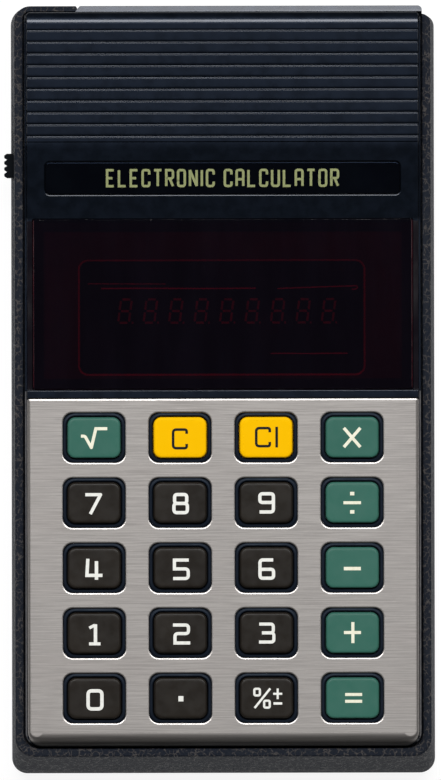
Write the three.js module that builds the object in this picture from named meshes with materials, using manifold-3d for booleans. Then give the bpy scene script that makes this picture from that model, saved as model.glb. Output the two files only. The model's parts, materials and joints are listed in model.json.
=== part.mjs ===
// Pocket calculator: two-part plastic case, brushed key plate, filtered display window,
// twenty travelling keys, a slide switch on the left side and a sliding battery cover.
// Millimetres. X runs across the face, Y runs from the keys to the display end, Z comes out of
// the face. The origin is under the middle of the case, in the plane that the feet stand on.
import * as THREE from 'three';
import { mergeVertices } from 'three/addons/utils/BufferGeometryUtils.js';
import Module from 'manifold-3d';

// ---------------------------------------------------------------- driving dimensions

const CASE_WIDTH = 80.0; // widest place of the rear shell
const CASE_BOTTOM_Y = -72.5; // the end near the keys
const CASE_TOP_Y = 70.8; // the rear shell's end wall at the display end
const TAB_TOP_Y = 72.35; // the socket tab and the front shell's end flange reach further
const FACE_Z = 22.9; // ribs, bar and key plate
const PLATE_THICKNESS = 0.6;
const BACK_Z = 0.8; // outer face of the back, above the feet
const WALL = 1.8;
const RIM_Z = 20.0; // edge of the rear shell
const SEAT_Z = 18.0; // shoulder that the front shell's skirt stands on
const FIT_GAP = 0.05; // between pieces that rest on each other
const RUN_GAP = 0.1; // between pieces that slide

const FRONT_HALF_WIDTH = 37.3;
const FRONT_BOTTOM_Y = -67.2;
const FRONT_TOP_Y = 71.2;
const FRONT_WALL = 1.7;
const SIDE_WALL = 1.5;
const SEAT_GAP = 0.3; // dark line between the two shells

const WINDOW_TOP_Y = 32.3;
const WINDOW_Z = 21.4; // floor of the display zone, below the face
const SLOPE_TOP_Y = 46.0; // the face starts to fall towards the window here
const BAR_DEPTH = 1.6; // bar between the window and the key plate

const RIB_COUNT = 10;
const RIB_FIRST_Y = 47.8;
const RIB_PITCH = 2.22;
const RIB_STEP = 0.35;

const KEY_COLUMN_PITCH = 16.2;
const KEY_ROW_PITCH = 12.27;
const KEY_TOP_ROW_Y = -9.0;
const KEY_CAP = { width: 10.0, length: 7.7, radius: 1.5 };
const KEY_OPENING = { width: 11.8, length: 9.4, radius: 1.85 };
const KEY_TOP_Z = 23.7;
const KEY_TRAVEL = 1.0;

const BOARD_THICKNESS = 1.6;
const KEYBOARD_Z = 16.4; // underside of the keyboard board
const LOGIC_BOARD_Z = 8.0; // underside of the logic board

const CELL = { diameter: 14.5, length: 50.5, nub: 1.0, nubDiameter: 5.5 };
const BAY = { halfWidth: 30.2, bottomY: 38.8, topY: 68.6, ceilingZ: 17.4, wall: 1.2 };
const COVER = { halfWidth: 29.3, tongue: 1.1, bottomY: 36.6, topZ: 2.6 };

const SCREW_SPOTS = [
  [-32.8, -63.0],
  [32.8, -63.0],
  [-32.8, 34.0],
  [32.8, 34.0],
];
const FOOT_SPOTS = [
  [-28.5, -55.0],
  [28.5, -55.0],
  [-28.5, 26.0],
  [28.5, 26.0],
];
const FOOT = { radius: 4.0, height: 1.2 };
const BOARD_SCREW_SPOTS = [
  [-22.0, -32.0],
  [22.0, -32.0],
];

// ---------------------------------------------------------------- materials

function material(color, roughness, metalness = 0) {
  return new THREE.MeshStandardMaterial({ color, roughness, metalness });
}

const finish = {
  rearShell: material(0x262a30, 0.7),
  frontShell: material(0x171c26, 0.45),
  brushedPlate: material(0xa19c99, 0.35, 1),
  window: material(0x2a0710, 0.08),
  gloss: material(0x0a0b10, 0.15),
  blackKey: material(0x302d28, 0.5),
  greenKey: material(0x3f6b60, 0.5),
  yellowKey: material(0xffc308, 0.5),
  mask: material(0x0c0a0c, 0.8),
  glass: material(0x2b2226, 0.15),
  rubber: material(0x141414, 0.9),
  steel: material(0xb4b4b8, 0.35, 1),
  spring: material(0xc9c6bd, 0.3, 1),
  board: material(0x4a6a2c, 0.6),
  phenolic: material(0x8a6a3a, 0.6),
  chip: material(0x17171a, 0.5),
  ceramic: material(0x9a8f86, 0.6),
  ferrite: material(0x3a3433, 0.6),
  sleeve: material(0x24406e, 0.4),
  dome: material(0xd8d5c8, 0.6),
  cell: material(0x9c7a2e, 0.35, 0.6),
  wireRed: material(0xa81e1a, 0.5),
  wireBlack: material(0x101012, 0.5),
};

// ---------------------------------------------------------------- geometry helpers

const wasm = await Module();
wasm.setup();

const BACKWARD = new THREE.Vector3(0, -1, 0);
const X = new THREE.Vector3(1, 0, 0);
const Y = new THREE.Vector3(0, 1, 0);
const Z = new THREE.Vector3(0, 0, 1);

// A closed geometry as a manifold solid, for joining and cutting.
function solid(geometry) {
  const bare = geometry.clone();
  bare.deleteAttribute('normal');
  bare.deleteAttribute('uv');
  const merged = mergeVertices(bare, 1e-5);
  return new wasm.Manifold(
    new wasm.Mesh({
      numProp: 3,
      vertProperties: new Float32Array(merged.attributes.position.array),
      triVerts: new Uint32Array(merged.index.array),
    }),
  );
}

function geometryOf(body) {
  const mesh = body.getMesh();
  const geometry = new THREE.BufferGeometry();
  geometry.setAttribute('position', new THREE.BufferAttribute(mesh.vertProperties, mesh.numProp));
  geometry.setIndex(new THREE.BufferAttribute(mesh.triVerts, 1));
  geometry.computeVertexNormals();
  return geometry;
}

function cut(body, ...tools) {
  return tools.reduce((left, tool) => left.subtract(solid(tool)), body);
}

function join(body, ...extras) {
  return extras.reduce((whole, extra) => whole.add(solid(extra)), body);
}

// A box between two corners.
function block(x0, x1, y0, y1, z0, z1) {
  const geometry = new THREE.BoxGeometry(x1 - x0, y1 - y0, z1 - z0);
  return geometry.translate((x0 + x1) / 2, (y0 + y1) / 2, (z0 + z1) / 2);
}

// An upright cylinder of the given radius, or a cone frustum.
function post(x, y, z0, z1, radius, sides = 12, topRadius = radius) {
  const geometry = new THREE.CylinderGeometry(topRadius, radius, z1 - z0, sides);
  geometry.rotateX(Math.PI / 2);
  return geometry.translate(x, y, (z0 + z1) / 2);
}

function shapeOf(points) {
  return new THREE.Shape(points.map(([u, v]) => new THREE.Vector2(u, v)));
}

// A plan outline given in X and Y, raised from z0 to z1.
function planPrism(points, z0, z1) {
  const geometry = new THREE.ExtrudeGeometry(shapeOf(points), { depth: z1 - z0, bevelEnabled: false });
  return geometry.translate(0, 0, z0);
}

// A side profile given in Y and Z, run across from x0 to x1.
function crossBar(points, x0, x1) {
  const geometry = new THREE.ExtrudeGeometry(shapeOf(points), { depth: x1 - x0, bevelEnabled: false });
  geometry.applyMatrix4(new THREE.Matrix4().makeBasis(Y, Z, X));
  return geometry.translate(x0, 0, 0);
}

// An end profile given in X and Z, run along from y0 to y1.
function lengthBar(points, y0, y1) {
  const geometry = new THREE.ExtrudeGeometry(shapeOf(points), { depth: y1 - y0, bevelEnabled: false });
  geometry.applyMatrix4(new THREE.Matrix4().makeBasis(X, Z, BACKWARD));
  return geometry.translate(0, y1, 0);
}

// Points along an arc, angles in degrees.
function arc(cx, cy, radius, from, to, steps) {
  const points = [];
  for (let i = 0; i <= steps; i += 1) {
    const angle = THREE.MathUtils.degToRad(from + ((to - from) * i) / steps);
    points.push([cx + radius * Math.cos(angle), cy + radius * Math.sin(angle)]);
  }
  return points;
}

// The outline of a rectangle with round corners, anticlockwise from the lower right.
function roundedOutline(x0, x1, y0, y1, lowRadius, highRadius = lowRadius, steps = 3) {
  return [
    ...arc(x1 - lowRadius, y0 + lowRadius, lowRadius, -90, 0, steps),
    ...arc(x1 - highRadius, y1 - highRadius, highRadius, 0, 90, steps),
    ...arc(x0 + highRadius, y1 - highRadius, highRadius, 90, 180, steps),
    ...arc(x0 + lowRadius, y0 + lowRadius, lowRadius, 180, 270, steps),
  ];
}

function centredOutline(width, length, radius, steps = 3) {
  return roundedOutline(-width / 2, width / 2, -length / 2, length / 2, radius, radius, steps);
}

// A solid skinned over outlines of equal point count, each {points, z}, from low to high.
function loft(levels) {
  const count = levels[0].points.length;
  const positions = levels.flatMap(({ points, z }) => points.flatMap(([x, y]) => [x, y, z]));
  const index = [];
  for (let level = 0; level < levels.length - 1; level += 1) {
    for (let i = 0; i < count; i += 1) {
      const a = level * count + i;
      const b = level * count + ((i + 1) % count);
      index.push(a, b, b + count, a, b + count, a + count);
    }
  }
  const top = (levels.length - 1) * count;
  for (let i = 1; i < count - 1; i += 1) {
    index.push(0, i + 1, i);
    index.push(top, top + i, top + i + 1);
  }
  const geometry = new THREE.BufferGeometry();
  geometry.setAttribute('position', new THREE.Float32BufferAttribute(positions, 3));
  geometry.setIndex(index);
  geometry.computeVertexNormals();
  return geometry;
}

// A round bar along a smooth path of points.
function wire(points, radius, sides, steps) {
  const path = new THREE.CatmullRomCurve3(points.map((p) => new THREE.Vector3(...p)));
  const section = shapeOf(arc(0, 0, radius, 0, 360 - 360 / sides, sides - 1));
  return new THREE.ExtrudeGeometry(section, { steps, bevelEnabled: false, extrudePath: path });
}

function named(name, geometry, look, position = [0, 0, 0]) {
  const mesh = new THREE.Mesh(geometry, look);
  mesh.name = name;
  mesh.position.set(...position);
  return mesh;
}

// ---------------------------------------------------------------- rear shell

const TAB_RIGHT_X = -27.75;
const SOCKET = { x: -34.0, z: 11.0, holeRadius: 2.9 };
const KNOB = { y: 42.3, z: 14.0, length: 4.6, height: 4.4, travel: 4.0 };
const COUNTERBORE = { radius: 2.8, depth: 3.0 };

// Outer skin of the rear shell, ending at endY: round back edge, widest low down, then drafted in
// to the rim, with the end near the keys sloping most.
function rearSkin(endY) {
  const edge = 3.0;
  const half = CASE_WIDTH / 2;
  const widestZ = 6.0;
  const level = (z, side, foot, head, radius) => ({
    z,
    points: roundedOutline(-half + side, half - side, CASE_BOTTOM_Y + foot, endY - head, radius),
  });
  const backEdge = [0, 30, 60].map((degrees) => {
    const angle = THREE.MathUtils.degToRad(degrees);
    const inset = edge * (1 - Math.sin(angle));
    const rise = edge * (1 - Math.cos(angle));
    return level(BACK_Z + rise, inset, inset, inset, 3.4);
  });
  return loft([...backEdge, level(widestZ, 0, 0, 0, 3.4), level(RIM_Z, 0.8, 3.4, 0, 3.0)]);
}

// Plan of everything left of the socket tab's end.
const tabPlan = [
  [-45, 55],
  [TAB_RIGHT_X, 55],
  [TAB_RIGHT_X, TAB_TOP_Y + 0.5],
  [-45, TAB_TOP_Y + 0.5],
];

function rearOuter() {
  const tab = solid(rearSkin(TAB_TOP_Y)).intersect(solid(planPrism(tabPlan, 0, RIM_Z + 1)));
  return solid(rearSkin(CASE_TOP_Y)).add(tab);
}

// Space that the battery cover slides through: a plate slot with a wider groove for its tongues.
function coverSlot() {
  const plate = COVER.halfWidth + RUN_GAP + 0.1;
  const groove = COVER.halfWidth + COVER.tongue + RUN_GAP + 0.1;
  const grooveZ = COVER.topZ - 0.8 - RUN_GAP;
  const profile = [
    [-plate, 0],
    [plate, 0],
    [plate, grooveZ],
    [groove, grooveZ],
    [groove, COVER.topZ + RUN_GAP],
    [-groove, COVER.topZ + RUN_GAP],
    [-groove, grooveZ],
    [-plate, grooveZ],
  ];
  return lengthBar(profile, COVER.bottomY - RUN_GAP, TAB_TOP_Y + 2);
}

function lowerCase() {
  const floorZ = BACK_Z + WALL;
  const inner = loft([
    { z: floorZ, points: roundedOutline(-36.2, 36.2, -68.3, BAY.topY, 2.0) },
    { z: RIM_Z + 1, points: roundedOutline(-37.2, 37.2, -67.2, BAY.topY, 2.0) },
  ]);
  const seatHalf = FRONT_HALF_WIDTH + SEAT_GAP;
  const seat = planPrism(
    roundedOutline(-seatHalf, seatHalf, FRONT_BOTTOM_Y - 0.4, FRONT_TOP_Y + 0.15, 3.0, 1.3),
    SEAT_Z,
    RIM_Z + 1,
  );
  const flangeRoom = block(TAB_RIGHT_X + 0.02, seatHalf, 60, TAB_TOP_Y + 2, SEAT_Z, RIM_Z + 1);
  let shell = cut(rearOuter(), inner, seat, flangeRoom);

  // Battery bay: two side walls, a wall towards the keys and a ceiling.
  const bayHalf = BAY.halfWidth + BAY.wall;
  const bayBlock = block(-bayHalf, bayHalf, BAY.bottomY - BAY.wall, BAY.topY + 0.5, BACK_Z + 1, BAY.ceilingZ + 1);
  const bayRoom = block(-BAY.halfWidth, BAY.halfWidth, BAY.bottomY, BAY.topY, floorZ, BAY.ceilingZ);
  shell = cut(join(shell, bayBlock), bayRoom, coverSlot());
  const wireHole = block(27.8, BAY.halfWidth, BAY.bottomY + 3, BAY.topY - 3, BAY.ceilingZ - 1, BAY.ceilingZ + 2);
  shell = cut(shell, wireHole);

  // Screw bosses, board posts and the ribs that carry the keyboard board.
  for (const [x, y] of SCREW_SPOTS) {
    shell = join(shell, post(x, y, floorZ - 0.5, 9.0, 3.4, 14));
    shell = cut(shell, post(x, y, 0, BACK_Z + COUNTERBORE.depth, COUNTERBORE.radius, 14));
    shell = cut(shell, post(x, y, BACK_Z + 1, 10, 1.5, 10));
  }
  for (const [x, y] of BOARD_SCREW_SPOTS) {
    shell = join(shell, post(x, y, floorZ - 0.5, LOGIC_BOARD_Z - FIT_GAP, 2.6, 10));
    shell = cut(shell, post(x, y, floorZ + 1, LOGIC_BOARD_Z + 1, 1.3, 8));
  }
  const ribTop = KEYBOARD_Z - FIT_GAP;
  for (const side of [-1, 1]) {
    for (const y of [-52, -30, -8]) {
      const [x0, x1] = side < 0 ? [-37.6, -34.9] : [34.9, 37.6];
      shell = join(shell, block(x0, x1, y - 0.7, y + 0.7, floorZ - 0.5, ribTop));
    }
  }

  // Feet recesses, switch slot and its pocket, hole for the adapter socket.
  for (const [x, y] of FOOT_SPOTS) {
    shell = cut(shell, post(x, y, 0, FOOT.height + FIT_GAP, FOOT.radius + 0.15, 16));
  }
  const pocketLow = KNOB.y - KNOB.length / 2 - 0.4;
  const pocketHigh = KNOB.y + KNOB.length / 2 + KNOB.travel + 0.4;
  const pocketHalf = KNOB.height / 2 + 0.3;
  const pocket = block(-45, -39.0, pocketLow, pocketHigh, KNOB.z - pocketHalf, KNOB.z + pocketHalf);
  const slot = block(-45, -30.9, KNOB.y - 1.4, KNOB.y + KNOB.travel + 1.4, KNOB.z - 1.3, KNOB.z + 1.3);
  const outerSlot = cut(solid(slot), block(-34, -30, 30, 60, 0, 25));
  shell = cut(shell, pocket).subtract(outerSlot);
  const socketHole = post(0, 0, 0, 8, SOCKET.holeRadius, 14).rotateX(-Math.PI / 2);
  shell = cut(shell, socketHole.translate(SOCKET.x, 64.8, SOCKET.z));
  return geometryOf(shell);
}

// ---------------------------------------------------------------- front shell

// Height of the sloping panel that carries the name plate.
function slopeZ(y) {
  const share = (y - WINDOW_TOP_Y) / (SLOPE_TOP_Y - WINDOW_TOP_Y);
  return WINDOW_Z + share * (FACE_Z - WINDOW_Z);
}

const ROLL = { y: -64.6, z: 20.3, radius: 2.6 }; // the plate's edge near the bottom end rolls down

function frontProfile() {
  const underPlate = FACE_Z - PLATE_THICKNESS - FIT_GAP;
  const ribs = [];
  for (let i = 0; i < RIB_COUNT; i += 1) {
    const y = RIB_FIRST_Y + i * RIB_PITCH;
    ribs.push([y, FACE_Z], [y + 0.12, FACE_Z - RIB_STEP]);
  }
  const edge = 1.5;
  return [
    [FRONT_BOTTOM_Y, SEAT_Z + RUN_GAP],
    [FRONT_TOP_Y, SEAT_Z + RUN_GAP],
    ...arc(FRONT_TOP_Y - edge, FACE_Z - edge, edge, 0, 90, 3),
    ...ribs.reverse().map(([y, z]) => [y, z]),
    [SLOPE_TOP_Y, FACE_Z],
    [WINDOW_TOP_Y, WINDOW_Z],
    [0, WINDOW_Z],
    [0, FACE_Z],
    [-BAR_DEPTH, FACE_Z],
    [-BAR_DEPTH, underPlate],
    ...arc(ROLL.y, ROLL.z, ROLL.radius - PLATE_THICKNESS - FIT_GAP, 90, 180, 3),
    [FRONT_BOTTOM_Y, ROLL.z],
  ];
}

const LENS = { halfWidth: 35.8, low: 0.1, high: 32.2, z: 19.6, thickness: 1.7 };
const BADGE = { halfWidth: 33.4, low: 36.85, high: 42.9, depth: 0.6 };

// A band of the sloping panel between two Y positions, from one depth under it to another.
function slopeBand(halfWidth, low, high, under, over) {
  const profile = [
    [low, slopeZ(low) - under],
    [high, slopeZ(high) - under],
    [high, slopeZ(high) + over],
    [low, slopeZ(low) + over],
  ];
  return crossBar(profile, -halfWidth, halfWidth);
}

function keySpots() {
  const spots = [];
  for (let row = 0; row < 5; row += 1) {
    for (let column = 0; column < 4; column += 1) {
      spots.push([(column - 1.5) * KEY_COLUMN_PITCH, KEY_TOP_ROW_Y - row * KEY_ROW_PITCH]);
    }
  }
  return spots;
}

function keyPrism(width, length, radius, [x, y], z0, z1) {
  return planPrism(centredOutline(width, length, radius, 2), z0, z1).translate(x, y, 0);
}

function upperCase() {
  const half = FRONT_HALF_WIDTH;
  const plan = planPrism(roundedOutline(-half, half, FRONT_BOTTOM_Y, FRONT_TOP_Y, 2.7, 0.9), 10, 30);
  let shell = solid(crossBar(frontProfile(), -half - 1, half + 1)).intersect(solid(plan));

  // Flange that laps over the rear shell's end wall, its top edge sloped.
  const flangeInner = CASE_TOP_Y + 0.25;
  const flange = [
    [flangeInner, 10.5],
    [TAB_TOP_Y, 10.5],
    [TAB_TOP_Y, 20.4],
    [TAB_TOP_Y - 0.15, 20.65],
    [FRONT_TOP_Y + 0.15, 21.1],
    [flangeInner - 1.6, 21.1],
    [flangeInner - 1.6, SEAT_Z + 0.4],
    [flangeInner, SEAT_Z + 0.4],
  ];
  const flangePlan = [
    [TAB_RIGHT_X + 0.15, 60],
    [half, 60],
    ...arc(half - 1.0, TAB_TOP_Y - 1.0, 1.0, 0, 90, 2),
    [TAB_RIGHT_X + 1.1, TAB_TOP_Y],
    [TAB_RIGHT_X + 0.15, TAB_TOP_Y - 1.0],
  ];
  shell = shell.add(solid(crossBar(flange, -half, half)).intersect(solid(planPrism(flangePlan, 10, 30))));

  // Hollow behind the keys, the display and the ribs.
  const innerHalf = half - SIDE_WALL;
  const ceiling = FACE_Z - PLATE_THICKNESS - FRONT_WALL;
  const ledgeZ = LENS.z - 1.1;
  const keyRoom = [
    [FRONT_BOTTOM_Y + 1.6, 15],
    [-BAR_DEPTH, 15],
    [-BAR_DEPTH, ceiling],
    [FRONT_BOTTOM_Y + 3.2, ceiling],
    [FRONT_BOTTOM_Y + 1.6, ceiling - 1.2],
  ];
  const headRoom = [
    [34.0, 15],
    [FRONT_TOP_Y - 1.5, 15],
    [FRONT_TOP_Y - 1.5, FACE_Z - FRONT_WALL - RIB_STEP],
    [SLOPE_TOP_Y, FACE_Z - FRONT_WALL - RIB_STEP],
    [34.0, slopeZ(34.0) - FRONT_WALL],
  ];
  shell = cut(
    shell,
    crossBar(keyRoom, -innerHalf, innerHalf),
    crossBar(headRoom, -innerHalf, innerHalf),
    block(-innerHalf, innerHalf, -BAR_DEPTH - 1, 35.0, 15, ledgeZ),
  );

  // Recess and opening for the display window, recess for the name plate.
  const lensGap = 0.1;
  shell = cut(
    shell,
    block(-LENS.halfWidth - lensGap, LENS.halfWidth + lensGap, LENS.low - lensGap, WINDOW_TOP_Y, LENS.z - FIT_GAP, 30),
    block(-LENS.halfWidth + 2, LENS.halfWidth - 2, LENS.low + 2, WINDOW_TOP_Y - 2, 15, 30),
    slopeBand(BADGE.halfWidth + 0.1, BADGE.low - 0.1, BADGE.high + 0.1, BADGE.depth, 3),
  );

  // Collars that stand up inside the plate's openings and guide the keys.
  for (const spot of keySpots()) {
    const { width, length, radius } = KEY_OPENING;
    shell = join(shell, keyPrism(width - 0.2, length - 0.2, radius - 0.1, spot, ceiling + 0.5, FACE_Z - 0.2));
    const hole = [KEY_CAP.width + 0.3, KEY_CAP.length + 0.3, KEY_CAP.radius + 0.15];
    shell = cut(shell, keyPrism(...hole, spot, 15, 30));
  }

  // Screw bosses reach down to the ones of the rear shell.
  for (const [x, y] of SCREW_SPOTS) {
    const bossTop = y < 0 ? ceiling + 0.4 : ledgeZ + 0.4;
    const boss = solid(post(x, y, 9.1, bossTop, 3.1, 14));
    shell = shell.add(cut(boss, post(x, y, 8, 17, 1.5, 10)));
  }
  return geometryOf(shell);
}

function keyPlate() {
  const half = FRONT_HALF_WIDTH - 0.4;
  const topY = -BAR_DEPTH - FIT_GAP;
  const profile = [
    ...arc(ROLL.y, ROLL.z, ROLL.radius, 180, 90, 3),
    [topY, FACE_Z],
    [topY, FACE_Z - PLATE_THICKNESS],
    ...arc(ROLL.y, ROLL.z, ROLL.radius - PLATE_THICKNESS, 90, 180, 3),
  ];
  const plan = planPrism(roundedOutline(-half, half, FRONT_BOTTOM_Y, topY + 1, 2.8, 0.3), 15, 30);
  let plate = solid(crossBar(profile.reverse(), -half, half)).intersect(solid(plan));
  for (const spot of keySpots()) {
    plate = cut(plate, keyPrism(KEY_OPENING.width, KEY_OPENING.length, KEY_OPENING.radius, spot, 15, 30));
  }
  return geometryOf(plate);
}

// ---------------------------------------------------------------- keys

// One key, its cap above a retaining flange that stays under the front shell.
function keyGeometry() {
  const { width, length, radius } = KEY_CAP;
  const flangeTop = FACE_Z - PLATE_THICKNESS - FRONT_WALL - 0.15;
  const bevel = 0.35;
  const flange = centredOutline(width + 1.4, length + 1.4, radius, 2);
  const stem = centredOutline(width, length, radius, 2);
  const crown = centredOutline(width - 2 * bevel, length - 2 * bevel, radius - bevel, 2);
  return loft([
    { points: flange, z: flangeTop - 0.85 },
    { points: flange, z: flangeTop },
    { points: stem, z: flangeTop },
    { points: stem, z: KEY_TOP_Z - bevel },
    { points: crown, z: KEY_TOP_Z },
  ]);
}

const KEY_NAMES = [
  'key_square_root',
  'key_clear',
  'key_clear_indicator',
  'key_multiply',
  'key_7',
  'key_8',
  'key_9',
  'key_divide',
  'key_4',
  'key_5',
  'key_6',
  'key_minus',
  'key_1',
  'key_2',
  'key_3',
  'key_plus',
  'key_0',
  'key_point',
  'key_percent_sign',
  'key_equals',
];
const GREEN_KEYS = ['key_square_root', 'key_multiply', 'key_divide', 'key_minus', 'key_plus', 'key_equals'];
const YELLOW_KEYS = ['key_clear', 'key_clear_indicator'];

function keyFinish(name) {
  if (GREEN_KEYS.includes(name)) return finish.greenKey;
  return YELLOW_KEYS.includes(name) ? finish.yellowKey : finish.blackKey;
}

function keys() {
  const group = new THREE.Group();
  const geometry = keyGeometry();
  keySpots().forEach(([x, y], i) => {
    group.add(named(KEY_NAMES[i], geometry, keyFinish(KEY_NAMES[i]), [x, y, 0]));
  });
  return group;
}

// ---------------------------------------------------------------- keyboard board and dome sheet

// Board outline with its two corners near the bottom end cut away for the screw bosses.
function notchedOutline(half, low, high, notchX, notchY) {
  return [
    [-notchX, low],
    [notchX, low],
    [notchX, notchY],
    [half, notchY],
    [half, high],
    [-half, high],
    [-half, notchY],
    [-notchX, notchY],
  ];
}

function keyboard() {
  const group = new THREE.Group();
  const boardTop = KEYBOARD_Z + BOARD_THICKNESS;
  const board = planPrism(notchedOutline(36.2, -65.2, -2.2, 29.3, -59.5), KEYBOARD_Z, boardTop);
  const sheetLow = boardTop + FIT_GAP;
  const sheetTop = sheetLow + 0.3;
  let sheet = solid(planPrism(notchedOutline(35.0, -64.8, -3.0, 29.0, -59.1), sheetLow, sheetTop));
  const domeTop = FACE_Z - PLATE_THICKNESS - FRONT_WALL - 1.0 - FIT_GAP;
  for (const [x, y] of keySpots()) {
    sheet = join(sheet, post(x, y, sheetTop - 0.1, domeTop, 3.6, 6, 2.0));
  }
  group.add(
    named('keyboard_board', board, finish.phenolic),
    named('key_dome_sheet', geometryOf(sheet), finish.dome),
  );
  return group;
}

// ---------------------------------------------------------------- display

function display() {
  const group = new THREE.Group();
  const { halfWidth, low, high, z, thickness } = LENS;
  const lens = loft([
    { points: roundedOutline(-halfWidth, halfWidth, low, high, 0.4, 0.4, 1), z },
    { points: roundedOutline(-halfWidth, halfWidth, low, high, 0.4, 0.4, 1), z: z + thickness },
  ]);
  const maskTop = z - 1.1 - FIT_GAP;
  const apertureY = 13.6;
  const aperture = planPrism(centredOutline(53.4, 21.1, 1.3), 10, 20).translate(-0.2, apertureY, 0);
  const mask = cut(solid(block(-33.9, 33.9, 0.6, 30.4, maskTop - 1.1, maskTop)), aperture);
  const panelTop = maskTop - 1.1 - FIT_GAP;
  const glass = 4.2;
  const edge = 0.5;
  const panelOutline = (inset) => roundedOutline(-31 + inset, 31 - inset, 0.8 + inset, 26.6 - inset, 1.0, 1.0, 1);
  const panel = loft([
    { points: panelOutline(0), z: panelTop - glass },
    { points: panelOutline(0), z: panelTop - edge },
    { points: panelOutline(edge), z: panelTop },
  ]);
  const holderLow = LOGIC_BOARD_Z + BOARD_THICKNESS + FIT_GAP;
  const holderTop = panelTop - glass - FIT_GAP;
  const holder = cut(
    solid(block(-28, 28, 3.0, 24.4, holderLow, holderTop)),
    block(-25.5, 25.5, 5.5, 21.9, holderLow - 1, holderTop + 1),
  );
  const badge = slopeBand(BADGE.halfWidth, BADGE.low, BADGE.high, BADGE.depth - FIT_GAP, -0.15);
  group.add(
    named('display_lens', lens, finish.window),
    named('display_mask', geometryOf(mask), finish.mask),
    named('display_panel', panel, finish.glass),
    named('display_holder', geometryOf(holder), finish.chip),
    named('name_plate', badge, finish.gloss),
  );
  return group;
}

// ---------------------------------------------------------------- logic board and its parts

// A chip in a moulded body with a row of legs along each long side.
function legChip(length, width, legs) {
  const stand = 0.6;
  let chip = solid(block(-length / 2, length / 2, -width / 2, width / 2, stand, stand + 3.2));
  const pitch = 2.54;
  for (let i = 0; i < legs; i += 1) {
    const x = (i - (legs - 1) / 2) * pitch;
    for (const side of [-1, 1]) {
      const y = side * (width / 2 + 0.2);
      chip = join(chip, block(x - 0.3, x + 0.3, y - 0.3, y + 0.3, 0, stand + 1.5));
    }
  }
  return geometryOf(chip);
}

function lathe(points, sides) {
  const profile = points.map(([r, h]) => new THREE.Vector2(r, h));
  return new THREE.LatheGeometry(profile, sides);
}

function electronics() {
  const group = new THREE.Group();
  const top = LOGIC_BOARD_Z + BOARD_THICKNESS;
  const onBoard = top + FIT_GAP;
  let board = solid(block(-34.3, 34.3, -59.2, 29.9, LOGIC_BOARD_Z, top));
  for (const [x, y] of BOARD_SCREW_SPOTS) {
    board = cut(board, post(x, y, LOGIC_BOARD_Z - 1, top + 1, 1.4, 8));
  }
  const coil = lathe([[0, 0], [5.0, 0], [5.0, 1.2], [3.4, 1.4], [3.4, 4.6], [5.0, 4.8], [5.0, 6.0], [0, 6.0]], 14);
  coil.rotateX(Math.PI / 2);
  const can = lathe([[0, -7], [2.9, -7], [3.1, -6.6], [3.1, 6.6], [2.9, 7], [0, 7]], 12);
  can.rotateZ(-Math.PI / 2);
  const network = block(-10, 10, -1.3, 1.3, 0, 5.0);

  // Flat cable that folds from the keyboard board down to the logic board.
  const lowZ = onBoard + 0.3;
  const highZ = KEYBOARD_Z - FIT_GAP - 0.3;
  const foldRadius = (highZ - lowZ) / 2;
  const foldY = -5.0;
  const bend = (radius) => arc(foldY, (lowZ + highZ) / 2, radius, -90, 90, 6);
  const ribbon = [
    [foldY - 4, lowZ - 0.2],
    ...bend(foldRadius + 0.2),
    [foldY - 4, highZ + 0.2],
    [foldY - 4, highZ - 0.2],
    ...bend(foldRadius - 0.2).reverse(),
    [foldY - 4, lowZ + 0.2],
  ];
  group.add(
    named('logic_board', geometryOf(board), finish.board),
    named('calculator_chip', legChip(36.0, 13.6, 14), finish.chip, [0, -45, onBoard]),
    named('display_driver_chip', legChip(20.4, 7.4, 8), finish.chip, [-4, -20, onBoard]),
    named('converter_coil', coil, finish.ferrite, [27, -18, onBoard]),
    named('filter_capacitor', can, finish.sleeve, [20, -8, onBoard + 3.2]),
    named('resistor_network', network, finish.ceramic, [-22, -10, onBoard]),
    named('ribbon_cable', crossBar(ribbon, -10, 10), finish.ceramic),
  );
  const boardScrew = lathe([[0, -4.2], [0.95, -4.2], [0.95, 0], [2.0, 0], [1.6, 1.3], [0, 1.3]], 10);
  boardScrew.rotateX(Math.PI / 2);
  BOARD_SCREW_SPOTS.forEach(([x, y], i) => {
    group.add(named(`board_screw_${i + 1}`, boardScrew, finish.steel, [x, y, onBoard]));
  });
  return group;
}

// ---------------------------------------------------------------- power

const CELL_Z = COVER.topZ + 0.3 + CELL.diameter / 2;
const LOWER_CELL_Y = 46.35;
const UPPER_CELL_Y = 61.05;
const CONTACT_X = 29.05; // inner face of the contact plates

// A cell lying along X with its button end towards +X, its middle at the origin.
function cellGeometry() {
  const radius = CELL.diameter / 2;
  const half = CELL.length / 2;
  const nubRadius = CELL.nubDiameter / 2;
  const body = half - CELL.nub;
  const profile = [
    [0, -half],
    [radius - 0.8, -half],
    [radius, -half + 0.8],
    [radius, body - 0.8],
    [radius - 0.8, body],
    [nubRadius, body],
    [nubRadius, half],
    [0, half],
  ];
  return lathe(profile, 20).rotateZ(-Math.PI / 2);
}

// A conical contact spring along +X from its wide end.
function contactSpring(length) {
  const turns = 3.5;
  const stepsPerTurn = 9;
  const points = [];
  for (let i = 0; i <= turns * stepsPerTurn; i += 1) {
    const share = i / (turns * stepsPerTurn);
    const angle = share * turns * 2 * Math.PI;
    const radius = THREE.MathUtils.lerp(4.6, 2.6, share);
    points.push([0.45 + share * (length - 0.9), radius * Math.cos(angle), radius * Math.sin(angle)]);
  }
  return wire(points, 0.35, 5, points.length - 1);
}

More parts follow.
